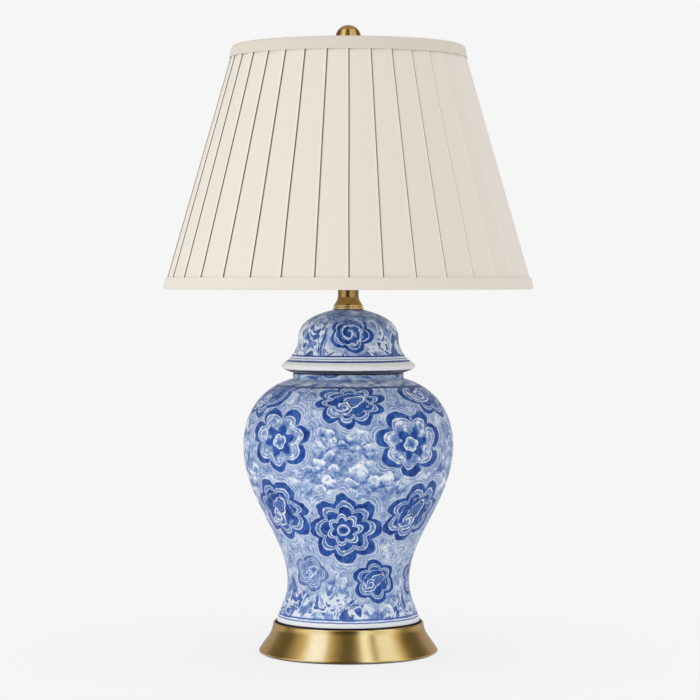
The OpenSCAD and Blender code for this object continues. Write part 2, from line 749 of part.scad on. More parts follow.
module shade_lining() {
    lo = hem_z + lining_edge;
    hi = rim_z - lining_edge;
    color(white) turned([[lining_r(lo) - lining_t, lo], [lining_r(lo), lo],
        [lining_r(hi), hi], [lining_r(hi) - lining_t, hi]]);
}

// The pleats: each panel climbs from under the fold on its left to its own fold on its right.
panel_steps = 3;
step_share = 0.02;     // share of a pleat's width that the step down at its fold takes
front_a = -90;
function plan(r, a, z) = [r * cos(a), r * sin(a), z];
// Azimuth of point j across panel i.
function panel_a(i, j) = front_a + 360 / pleats * (i + (j == 0 ? step_share : j / panel_steps));
function pleat_ring(z) = [for (i = [0:pleats - 1], j = [0:panel_steps])
    plan(panel_r(z) + pleat_depth * j / panel_steps, panel_a(i, j), z)];
function lining_side(z) = [for (i = [0:pleats - 1], j = [0:panel_steps])
    plan(panel_r(z) - fabric_t, panel_a(i, j), z)];

module shade_pleats() {
    lo = hem_z + band_round;
    hi = rim_z - band_round;
    n = pleats * (panel_steps + 1);
    rings = [pleat_ring(lo), pleat_ring(hi), lining_side(hi), lining_side(lo)];
    color(cream) polyhedron(
        points = [for (ring = rings, p = ring) p],
        faces = [for (k = [0:3], i = [0:n - 1]) let (a = k * n + i, b = k * n + (i + 1) % n,
            c = (k + 1) % 4 * n + (i + 1) % n, d = (k + 1) % 4 * n + i) each [[a, c, b], [a, d, c]]]);
}

// A fabric band folded over a rim: down the outside over the pleats, and behind the ring inside.
module band(rim, side, height, hoop_z) {
    leg = rim - side * height;
    turn = rim - side * band_round;
    out = slack + band_t;
    inner = hoop_r(hoop_z) - ring_r - slack - band_t;
    path = concat(
        [[fold_r(leg) + out, leg]],
        arc([fold_r(turn) + out - band_round, turn], band_round, 0, side * 90),
        arc([inner + band_round, turn], band_round, side * 90, side * 180),
        [[inner, rim - side * (band_round + 3)]]);
    turned(concat(path, reversed(beside(path, side * band_t))));
}

module shade_top_band() {
    color(cream) difference() {
        band(rim_z, 1, top_band_h, top_hoop_z);
        each_arm() arm_slope(spider_wire_d + 2 * thin);
    }
}

module shade_bottom_band() {
    color(cream) band(hem_z, -1, bottom_band_h, bottom_hoop_z);
}

// The finial: a ball on a waisted foot, with a blind hole for the harp's stud.
ball_r = ball_d / 2;

module finial() {
    foot = finial_foot_d / 2;
    waist_r = stud_d / 2 + 2.4;
    color(brass) translate([0, 0, finial_z]) difference() {
        union() {
            turned(concat([[0, 0], [foot - 1, 0]], arc([foot - 1.2, 1.4], 1.2, -60, 60),
                curve([foot - 1.6, 2.8], [waist_r, finial_h - ball_d], [0.6, 0.05], [1, 0.3], 6),
                [[waist_r, finial_h - ball_d + 3], [0, finial_h - ball_d + 3]]));
            translate([0, 0, finial_h - ball_r]) sphere(r = ball_r);
        }
        translate([0, 0, -1]) cylinder(r = stud_d / 2 + run_slack, h = stud_h + 2.5);
    }
}

felt_pad();
base();
cord_bushing();
foot_gasket();
base_washer();
base_lock_washer();
base_nut();
lamp_pipe();
jar();
lid();
neck_cap();
neck_tube();
check_ring();
harp_saddle();
harp_bow();
harp_stud();
harp_sleeve(-1);  // harp_sleeve_left
harp_sleeve(1);  // harp_sleeve_right
socket_cap();
socket_set_screw();
socket_shell();
socket_insulator();
socket_body();
screw_shell();
centre_contact();
terminal_screws();
switch_shaft();
switch_knob();
bulb_screw_cap();
bulb_insulator();
bulb_contact();
bulb_glass();
shade_spider();
shade_top_ring();
shade_bottom_ring();
shade_lining();
shade_pleats();
shade_top_band();
shade_bottom_band();
finial();
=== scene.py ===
"""The looks of a ceramic table lamp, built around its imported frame.

A lidded blue and white jar stands on a spun brass base, and a knife-pleated shade hangs from a harp over one
bulb. Metres, +Z up, and the photographed front faces -Y. Every new surface is a function of two parameters,
worked out on a numpy grid, and every pattern reads Object coordinates, a UV map or an attribute.
"""

import json
import logging
import math
from dataclasses import dataclass, field, replace
from enum import Enum
from typing import Callable, Sequence, Union

import bpy
import numpy as np
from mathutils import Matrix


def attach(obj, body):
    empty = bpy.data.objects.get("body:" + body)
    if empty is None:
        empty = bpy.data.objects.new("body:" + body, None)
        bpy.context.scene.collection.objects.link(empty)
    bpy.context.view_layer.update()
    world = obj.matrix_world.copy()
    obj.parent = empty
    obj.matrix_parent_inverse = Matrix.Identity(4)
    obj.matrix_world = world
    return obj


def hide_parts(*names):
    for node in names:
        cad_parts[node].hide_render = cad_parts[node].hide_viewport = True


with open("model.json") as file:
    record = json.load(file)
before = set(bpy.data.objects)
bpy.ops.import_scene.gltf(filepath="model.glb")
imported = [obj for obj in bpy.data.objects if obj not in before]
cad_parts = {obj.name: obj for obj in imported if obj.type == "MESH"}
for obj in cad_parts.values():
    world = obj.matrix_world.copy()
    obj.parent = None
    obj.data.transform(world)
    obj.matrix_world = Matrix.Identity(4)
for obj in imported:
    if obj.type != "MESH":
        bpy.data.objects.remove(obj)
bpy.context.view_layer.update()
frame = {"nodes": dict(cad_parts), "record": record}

LOG = logging.getLogger("table_lamp")
MM = 0.001
FRONT = -90.0  # azimuth of the photographed front, in degrees from +X

Colour = tuple[float, float, float]
Value = Union["Signal", float]


def srgb(red: int, green: int, blue: int) -> Colour:
    """Turns a display colour of 0 to 255 into the linear colour that shaders take.

    Args:
        red: Red of the display colour.
        green: Green of the display colour.
        blue: Blue of the display colour.

    Returns:
        The linear colour, each part from 0 to 1.
    """
    share = np.array([red, green, blue]) / 255.0
    linear = np.where(share <= 0.04045, share / 12.92, ((share + 0.055) / 1.055) ** 2.4)
    return tuple(float(part) for part in linear)


# Profiles: arrays of (radius, height) points in millimetres


def curve(start: Sequence[float], end: Sequence[float], u: Sequence[float], v: Sequence[float],
          count: int = 40) -> np.ndarray:
    """Cubic curve s**3 a + 3 s**2 t p + 3 s t**2 q + t**3 b, with s = 1 - t and t from 0 to 1.

    Args:
        start: Its first point, a.
        end: Its last point, b.
        u: Shares of the box from a to b that place the first handle, p.
        v: Shares of the same box that place the second handle, q.
        count: Number of steps.

    Returns:
        Points of the curve, one a row.
    """
    a, b = np.array(start, float), np.array(end, float)
    p, q = a + np.array(u) * (b - a), a + np.array(v) * (b - a)
    t = np.linspace(0, 1, count + 1)[:, None]
    s = 1 - t
    return s**3 * a + 3 * s * s * t * p + 3 * s * t * t * q + t**3 * b


def arc(centre: Sequence[float], radius: float, first: float, last: float, count: int = 12) -> np.ndarray:
    """Arc centre + radius (cos a, sin a), for a from first to last in degrees.

    Args:
        centre: Centre of the arc.
        radius: Its radius.
        first: First angle.
        last: Last angle.
        count: Number of steps.

    Returns:
        Points of the arc, one a row.
    """
    angle = np.radians(np.linspace(first, last, count + 1))
    return np.array(centre) + radius * np.stack([np.cos(angle), np.sin(angle)], -1)


def chain(*parts: Sequence) -> np.ndarray:
    """Joins stretches of a profile and drops points that repeat the one before.

    Args:
        parts: Arrays or lists of (radius, height) points.

    Returns:
        One array of points.
    """
    path = np.vstack([np.atleast_2d(np.array(part, float)) for part in parts])
    step = np.linalg.norm(np.diff(path, axis=0), axis=1)
    return path[np.concatenate([[True], step > 1e-6])]


def raised(place: Sequence[float], base: float) -> list[float]:
    """A (radius, height) point, moved up by the height of its base."""
    return [place[0], base + place[1]]


def travel(path: np.ndarray) -> np.ndarray:
    """Distance along a path at each of its points, as a running sum of its steps."""
    return np.concatenate([[0.0], np.cumsum(np.linalg.norm(np.diff(path, axis=0), axis=1))])


def evened(path: np.ndarray, step: float) -> np.ndarray:
    """Points at equal distances along a path, read off by linear interpolation over its travel.

    Args:
        path: The path.
        step: About how far apart the new points lie.

    Returns:
        The new points, with the same ends.
    """
    along = travel(path)
    there = np.linspace(0, along[-1], max(2, round(along[-1] / step) + 1))
    return np.stack([np.interp(there, along, path[:, axis]) for axis in (0, 1)], -1)


def beside(path: np.ndarray, distance: float) -> np.ndarray:
    """Moves each point of a path to its left, square to the central difference of its neighbours.

    Args:
        path: The path.
        distance: How far it moves.

    Returns:
        The moved points.
    """
    ahead = np.gradient(path, travel(path), axis=0)
    ahead /= np.linalg.norm(ahead, axis=1, keepdims=True)
    return path + distance * np.stack([-ahead[:, 1], ahead[:, 0]], -1)


# Surfaces


@dataclass
class Skin:
    """A surface held as arrays, before it becomes a piece of the lamp."""

    points: np.ndarray
    faces: list[list[int]]
    uv: np.ndarray | None = None
    attributes: dict[str, np.ndarray] = field(default_factory=dict)

    @classmethod
    def from_grid(cls, grid: np.ndarray, uv: np.ndarray | None = None, ring: bool = True, loop: bool = False,
                  **attributes: np.ndarray) -> "Skin":
        """Joins the neighbours of a grid of points by faces. Rows that shrink to a point become one corner.

        Args:
            grid: Points of shape (rows, columns, 3).
            uv: Cloth coordinates of shape (rows, columns, 2), in metres.
            ring: The last column repeats the first, and they are one.
            loop: The last row repeats the first, and they are one.
            attributes: Vectors of shape (rows, columns, 3) that go with the points.

        Returns:
            The surface.
        """
        rows, columns = grid.shape[:2]
        cell = np.arange(rows * columns).reshape(rows, columns)
        number = cell.copy()
        if ring:
            number[:, -1] = number[:, 0]
        if loop:
            number[-1] = number[0]
        pole = np.ptp(grid, axis=1).max(axis=1) < 1e-9
        number[pole] = number[pole][:, :1]
        quads = np.stack([cell[:-1, :-1], cell[:-1, 1:], cell[1:, 1:], cell[1:, :-1]], -1).reshape(-1, 4)
        corners = number.ravel()[quads]
        first_flat, last_flat = corners[:, 0] == corners[:, 1], corners[:, 2] == corners[:, 3]
        whole = ~(first_flat | last_flat)
        groups = [(whole, [0, 1, 2, 3]), (first_flat & ~last_flat, [0, 2, 3]),
                  (last_flat & ~first_flat, [0, 1, 2])]
        cells = [quads[mask][:, order] for mask, order in groups]
        used, compact = np.unique(np.concatenate([number.ravel()[c].ravel() for c in cells]),
                                  return_inverse=True)
        faces, start = [], 0
        for c in cells:
            faces += compact[start:start + c.size].reshape(c.shape).tolist()
            start += c.size
        flat_uv = None if uv is None else uv.reshape(-1, 2)[np.concatenate([c.ravel() for c in cells])]
        kept = {name: value.reshape(-1, 3)[used] for name, value in attributes.items()}
        return cls(grid.reshape(-1, 3)[used], faces, flat_uv, kept)

    def made(self, name: str, sharp: float = 40.0) -> bpy.types.Object:
        """Puts the arrays into a mesh, smooth but for edges sharper than an angle.

        Args:
            name: Name of the object.
            sharp: That angle, in degrees.

        Returns:
            The object, at the origin.
        """
        mesh = bpy.data.meshes.new(name)
        mesh.from_pydata(self.points.tolist(), [], self.faces)
        mesh.polygons.foreach_set("use_smooth", np.ones(len(mesh.polygons), bool))
        mesh.set_sharp_from_angle(angle=math.radians(sharp))
        if self.uv is not None:
            mesh.uv_layers.new(name="cloth").data.foreach_set("uv", self.uv.astype(np.float32).ravel())
        for key, value in self.attributes.items():
            layer = mesh.attributes.new(key, "FLOAT_VECTOR", "POINT")
            layer.data.foreach_set("vector", value.astype(np.float32).ravel())
        mesh.update()
        piece = bpy.data.objects.new(name, mesh)
        bpy.context.scene.collection.objects.link(piece)
        return piece


def turned_grid(profile: np.ndarray, columns: int) -> np.ndarray:
    """Points (r cos a, r sin a, z) of a profile turned about the lamp's axis, for a round the whole circle.

    Args:
        profile: (radius, height) points, in millimetres.
        columns: Number of steps round the circle.

    Returns:
        Points of shape (len(profile), columns + 1, 3), in metres. The seam is at the back.
    """
    angle = np.radians(FRONT - 180 + np.linspace(0, 360, columns + 1))
    radius, height = profile[:, :1] * MM, profile[:, 1:] * MM
    return np.stack([radius * np.cos(angle), radius * np.sin(angle), height + 0 * angle], -1)


def turned(profile: np.ndarray, columns: int = 192, loop: bool = True) -> Skin:
    """Turns a profile that runs up the outside of a solid, so that its faces point outwards.

    Args:
        profile: (radius, height) points, in millimetres.
        columns: Number of steps round the circle.
        loop: The profile is closed by a line from its last point to its first.

    Returns:
        The turned surface.
    """
    path = np.vstack([profile, profile[:1]]) if loop else profile
    return Skin.from_grid(turned_grid(path, columns), loop=loop)


# Shader nodes


@dataclass(frozen=True)
class Signal:
    """One value in a node tree. Arithmetic on it adds Math nodes."""

    mixer: "Mixer"
    socket: bpy.types.NodeSocket

    def math(self, operation: str, *others: Value) -> "Signal":
        """Adds a Math node with this value first."""
        return self.mixer.math(operation, self, *others)

    def __add__(self, other: Value) -> "Signal":
        """This value plus another."""
        return self.math("ADD", other)

    def __sub__(self, other: Value) -> "Signal":
        """This value less another."""
        return self.math("SUBTRACT", other)

    def __rsub__(self, other: float) -> "Signal":
        """A number less this value."""
        return self.mixer.math("SUBTRACT", other, self)

    def __mul__(self, other: Value) -> "Signal":
        """This value times another."""
        return self.math("MULTIPLY", other)

    def __truediv__(self, other: Value) -> "Signal":
        """This value over another."""
        return self.math("DIVIDE", other)

    def __abs__(self) -> "Signal":
        """This value without its sign."""
        return self.math("ABSOLUTE")

    __radd__, __rmul__ = __add__, __mul__

    def hypot(self, other: "Signal") -> "Signal":
        """Length of the vector that this value makes with another."""
        return (self * self + other * other).math("SQRT")

    def rise(self, start: float, end: float) -> "Signal":
        """Climbs from 0 to 1 as the value goes from start to end, level at both ends."""
        limits = {"Value": self, "From Min": start, "From Max": end}
        return self.mixer.take("Result", "MapRange", limits, interpolation_type="SMOOTHSTEP")

    def fall(self, start: float, end: float) -> "Signal":
        """Drops from 1 to 0 as the value goes from start to end."""
        return 1.0 - self.rise(start, end)

    def line(self, place: float, width: float) -> "Signal":
        """One on a line at a place, and nothing half its width away."""
        return abs(self - place).fall(width * 0.25, width * 0.5)


class Mixer:
    """A node tree under construction."""

    def __init__(self, tree: bpy.types.NodeTree) -> None:
        """Starts from an empty tree.

        Args:
            tree: The tree that is filled.
        """
        self.tree = tree
        self.tree.nodes.clear()

    def node(self, kind: str, sources: dict, **settings: object) -> bpy.types.Node:
        """Adds a node.

        Args:
            kind: Its type, without the ShaderNode before it.
            sources: A signal, number or colour for each named or numbered input.
            settings: Its own settings.

        Returns:
            The node.
        """
        node = self.tree.nodes.new("ShaderNode" + kind)
        for key, value in settings.items():
            setattr(node, key, value)
        for key, value in sources.items():
            self.feed(node.inputs[key], value)
        return node

    def feed(self, socket: bpy.types.NodeSocket, value: object) -> None:
        """Links a signal to an input, or writes a number or colour in it.

        Args:
            socket: The input.
            value: What goes in.
        """
        if isinstance(value, Signal):
            self.tree.links.new(value.socket, socket)
        elif socket.type == "RGBA":
            socket.default_value = (*value[:3], 1.0)
        else:
            socket.default_value = value

    def take(self, output: int | str, kind: str, sources: dict, **settings: object) -> Signal:
        """Adds a node as node() does, and takes the output with that number or name."""
        return Signal(self, self.node(kind, sources, **settings).outputs[output])

    def math(self, operation: str, *values: Value) -> Signal:
        """Adds a Math node of an operation on some values."""
        return self.take(0, "Math", dict(enumerate(values)), operation=operation)

    def vector(self, operation: str, *values: object) -> Signal:
        """Adds a Vector Math node of an operation on some vectors."""
        return self.take(0, "VectorMath", dict(enumerate(values)), operation=operation)

    def parts(self, vector: Signal) -> list[Signal]:
        """The three parts of a vector."""
        node = self.node("SeparateXYZ", {0: vector})
        return [Signal(self, out) for out in node.outputs]

    def blend(self, share: Value, under: object, over: object) -> Signal:
        """Lays one colour over another.

        Args:
            share: How much of the upper colour shows.
            under: The colour below.
            over: The colour above.

        Returns:
            The blended colour.
        """
        return self.take(2, "Mix", {0: share, 6: under, 7: over}, data_type="RGBA")

    def layered(self, colour: object, *layers: tuple[Value, object]) -> Signal:
        """Lays a row of colours over another, each by its own share.

        Args:
            colour: The lowest colour.
            layers: The share and the colour of each layer, from the lowest up.

        Returns:
            The blended colour.
        """
        for share, over in layers:
            colour = self.blend(share, colour, over)
        return colour

    def choose(self, share: Value, under: Value, over: Value) -> Signal:
        """Blends two values as blend() does two colours."""
        return self.take(0, "Mix", {0: share, 2: under, 3: over}, data_type="FLOAT")

    def ramp(self, value: Signal, stops: Sequence[tuple[float, Colour]]) -> Signal:
        """Reads a value off a row of colours.

        Args:
            value: The value, from 0 to 1.
            stops: Places on the row and their colours.

        Returns:
            The colour.
        """
        node = self.node("ValToRGB", {0: value})
        band = node.color_ramp
        while len(band.elements) < len(stops):
            band.elements.new(0.5)
        for element, (place, colour) in zip(band.elements, stops):
            element.position = place
            element.color = (*colour, 1.0)
        return Signal(self, node.outputs[0])


class Paint(Mixer):
    """A material under construction."""

    def __init__(self, name: str) -> None:
        """Starts an empty material.

        Args:
            name: Its name.
        """
        self.material = bpy.data.materials.new(name)
        self.material.use_nodes = True
        super().__init__(self.material.node_tree)
        self.place = self.take("Object", "TexCoord", {})

    def attribute(self, name: str) -> Signal:
        """Reads a vector that the mesh holds."""
        return self.take("Vector", "Attribute", {}, attribute_name=name)

    def cloth_place(self) -> list[Signal]:
        """The two distances along the cloth, in metres, from its UV map."""
        return self.parts(self.take(0, "UVMap", {}, uv_map="cloth"))[:2]

    def noise(self, scale: float, detail: float = 2.0, roughness: float = 0.5, distortion: float = 0.0,
              stretch: Sequence[float] = (1, 1, 1), where: Signal | None = None) -> Signal:
        """Soft noise about 0, mostly within -0.2 and 0.2.

        Args:
            scale: Waves for each metre.
            detail: Number of finer waves on them.
            roughness: How strong the finer ones are.
            distortion: How far the pattern swirls.
            stretch: Factors on the three coordinates, where a small one draws the pattern out.
            where: The coordinates, or None for the object's.

        Returns:
            The noise.
        """
        place = self.vector("MULTIPLY", where or self.place, tuple(stretch))
        return self.take(0, "TexNoise", {"Vector": place, "Scale": scale, "Detail": detail,
                                         "Roughness": roughness, "Distortion": distortion}) - 0.5

    def bump(self, height: Signal, depth: float) -> Signal:
        """Tilts the surface as a relief of some depth would.

        Args:
            height: The relief, about 0 to 1.
            depth: Its depth in metres.

        Returns:
            The tilted normal.
        """
        return self.take(0, "Bump", {"Height": height, "Distance": depth})

    def finished(self, **sockets: object) -> bpy.types.Material:
        """Closes the material with a Principled shader.

        Args:
            sockets: Its inputs, with _ for each space in their names.

        Returns:
            The material.
        """
        sources = {key.replace("_", " "): value for key, value in sockets.items()}
        self.node("OutputMaterial", {"Surface": self.take(0, "BsdfPrincipled", sources)})
        return self.material


# Finishes


@dataclass(frozen=True)
class Finish:
    """What every finish has: its colour and how rough it is."""

    colour: Colour
    roughness: float = 0.5

    def material(self, name: str) -> bpy.types.Material:
        """Makes the finish as a material of that name."""
        raise NotImplementedError


@dataclass(frozen=True)
class Brass(Finish):
    """Satin brass, lathe-turned: clouds of patina, fine rings about the lamp's axis, and under a set height a
    painted highlight.
    """

    patina: Colour = srgb(176, 134, 66)
    # lighter brass: a painted highlight on the neck cap's beads
    painted_highlight: Colour = srgb(236, 200, 132)
    age: float = 0.3
    rings: float = 2200.0
    coat: float = 0.25
    painted_highlight_z: float = 0.0  # height under which the brass is lightened as a painted highlight, in metres

    def material(self, name: str) -> bpy.types.Material:
        """Makes the finish.

        Args:
            name: Name of the material.

        Returns:
            The material.
        """
        paint = Paint(name)
        clouds = (paint.noise(38, 4, 0.6) * 2.2 + 0.5) * self.age
        turning = paint.noise(1.0, 2, 0.7, stretch=(3, 3, self.rings))
        rub = paint.noise(160, 3, 0.6, stretch=(1, 1, 0.3))
        colour = paint.blend(clouds, self.colour, self.patina)
        # painted highlight: the brass below this height is lightened
        if self.painted_highlight_z:
            height = paint.parts(paint.place)[2]
            colour = paint.blend(height.fall(self.painted_highlight_z, self.painted_highlight_z + 0.001), colour, self.painted_highlight)
        return paint.finished(
            Base_Color=colour, Metallic=1.0,
            Roughness=self.roughness + turning * 0.06 + rub * 0.05,
            Normal=paint.bump(turning, 0.000003), Coat_Weight=self.coat, Coat_Roughness=0.3)


@dataclass(frozen=True)
class PlatedMetal(Finish):
    """Plain plated or drawn metal with a faint grain."""

    grain: float = 900.0

    def material(self, name: str) -> bpy.types.Material:
        """Makes the finish.

        Args:
            name: Name of the material.

        Returns:
            The material.
        """
        paint = Paint(name)
        grain = paint.noise(self.grain, 3, 0.6)
        dull = paint.noise(60, 2)
        return paint.finished(
            Base_Color=paint.blend(dull * 1.2 + 0.4, self.colour, tuple(0.7 * part for part in self.colour)),
            Metallic=1.0, Roughness=self.roughness + grain * 0.2, Normal=paint.bump(grain, 0.00001))


@dataclass(frozen=True)
class Moulded(Finish):
    """Plastic, rubber, card or enamel: an even colour with a fine skin of its own."""

    grain: float = 1500.0
    relief: float = 0.00003
    mottle: float = 0.15

    def material(self, name: str) -> bpy.types.Material:
        """Makes the finish.

        Args:
            name: Name of the material.

        Returns:
            The material.
        """
        paint = Paint(name)
        skin = paint.noise(self.grain, 2, 0.6)
        darker = tuple(part * (1 - self.mottle) for part in self.colour)
        tone = paint.noise(90, 3) * 2 + 0.5
        return paint.finished(Base_Color=paint.blend(tone, self.colour, darker),
                              Roughness=self.roughness + skin * 0.2, Normal=paint.bump(skin, self.relief))


@dataclass(frozen=True)
class Felt(Finish):
    """Pressed wool felt: short fibres lying every way."""

    fibre: Colour = srgb(58, 56, 54)

    def material(self, name: str) -> bpy.types.Material:
        """Makes the finish.

        Args:
            name: Name of the material.

        Returns:
            The material.
        """
        paint = Paint(name)
        fibres = paint.noise(2600, 4, 0.75, 1.5)
        return paint.finished(Base_Color=paint.blend(fibres * 3 + 0.4, self.colour, self.fibre),
                              Roughness=self.roughness, Normal=paint.bump(fibres, 0.0003),
                              Sheen_Weight=0.3, Sheen_Roughness=0.6)


@dataclass(frozen=True)
class WovenCloth(Finish):
    """Cream plain-weave cloth: warp and weft from the UV map, slubs along both, painted shade in the creases
    and painted highlights on the folds' lips.
    """

    # painted shade, laid into the crease beside each fold
    crease_shade: Colour = srgb(118, 84, 30)
    # painted highlight on the folds' lips, and a little random tone on each panel
    lip: Colour = srgb(255, 251, 242)
    thread: float = 0.00042

    def material(self, name: str) -> bpy.types.Material:
        """Makes the finish. A thread's height is the larger of two sine waves, half a thread out of step.

        Args:
            name: Name of the material.

        Returns:
            The material.
        """
        paint = Paint(name)
        across, along = paint.cloth_place()
        rate = math.pi / self.thread
        warp, weft = (across * rate).math("SINE"), (along * rate).math("SINE")
        weave = abs(warp).math("MAXIMUM", abs(weft) * 0.9) + warp * weft * 0.3
        slub_across = paint.noise(1.0, 3, 0.6, stretch=(220, 220, 1900))
        slub_along = paint.noise(1.0, 3, 0.6, stretch=(1900, 1900, 160))
        cloud = paint.noise(22, 3)
        tone = weave * 0.03 + slub_across * 0.14 + slub_along * 0.12 + cloud * 0.06
        # shadow is painted crease shade, edge is a painted highlight on the lip, and panel is a random tone for
        # each pleat
        shadow, edge, panel = paint.parts(paint.attribute("fold"))
        colour = paint.layered(self.colour, (tone + 0.12, tuple(part * 0.72 for part in self.colour)),
                               (panel * 0.05, self.lip), (edge * 0.55, self.lip),
                               (shadow * 0.95, self.crease_shade))
        return paint.finished(Base_Color=colour, Roughness=self.roughness,
                              Normal=paint.bump(weave + slub_across + slub_along, 0.00006),
                              Sheen_Weight=0.12, Sheen_Roughness=0.5, Specular_IOR_Level=0.2)


class Pot(Enum):
    """Which of the two painted pots a glaze is for."""

    JAR = "jar"
    LID = "lid"


@dataclass(frozen=True)
class Strokes:
    """What the heart of a flower is drawn from, at each point of the pot."""

    cobalt: Signal  # the dense paint
    pale: Signal  # the thin paint
    across: Signal  # place from the flower's centre, in its half widths and half heights
    up: Signal
    angle: Signal  # direction from the centre, in radians
    rho: Signal  # distance from the centre, where the rim is 1
    core: Signal  # the same, where the inner scallop is 1
    turn: Signal  # turn of the petals, in radians
    stray: Signal  # noise that makes the brush stray


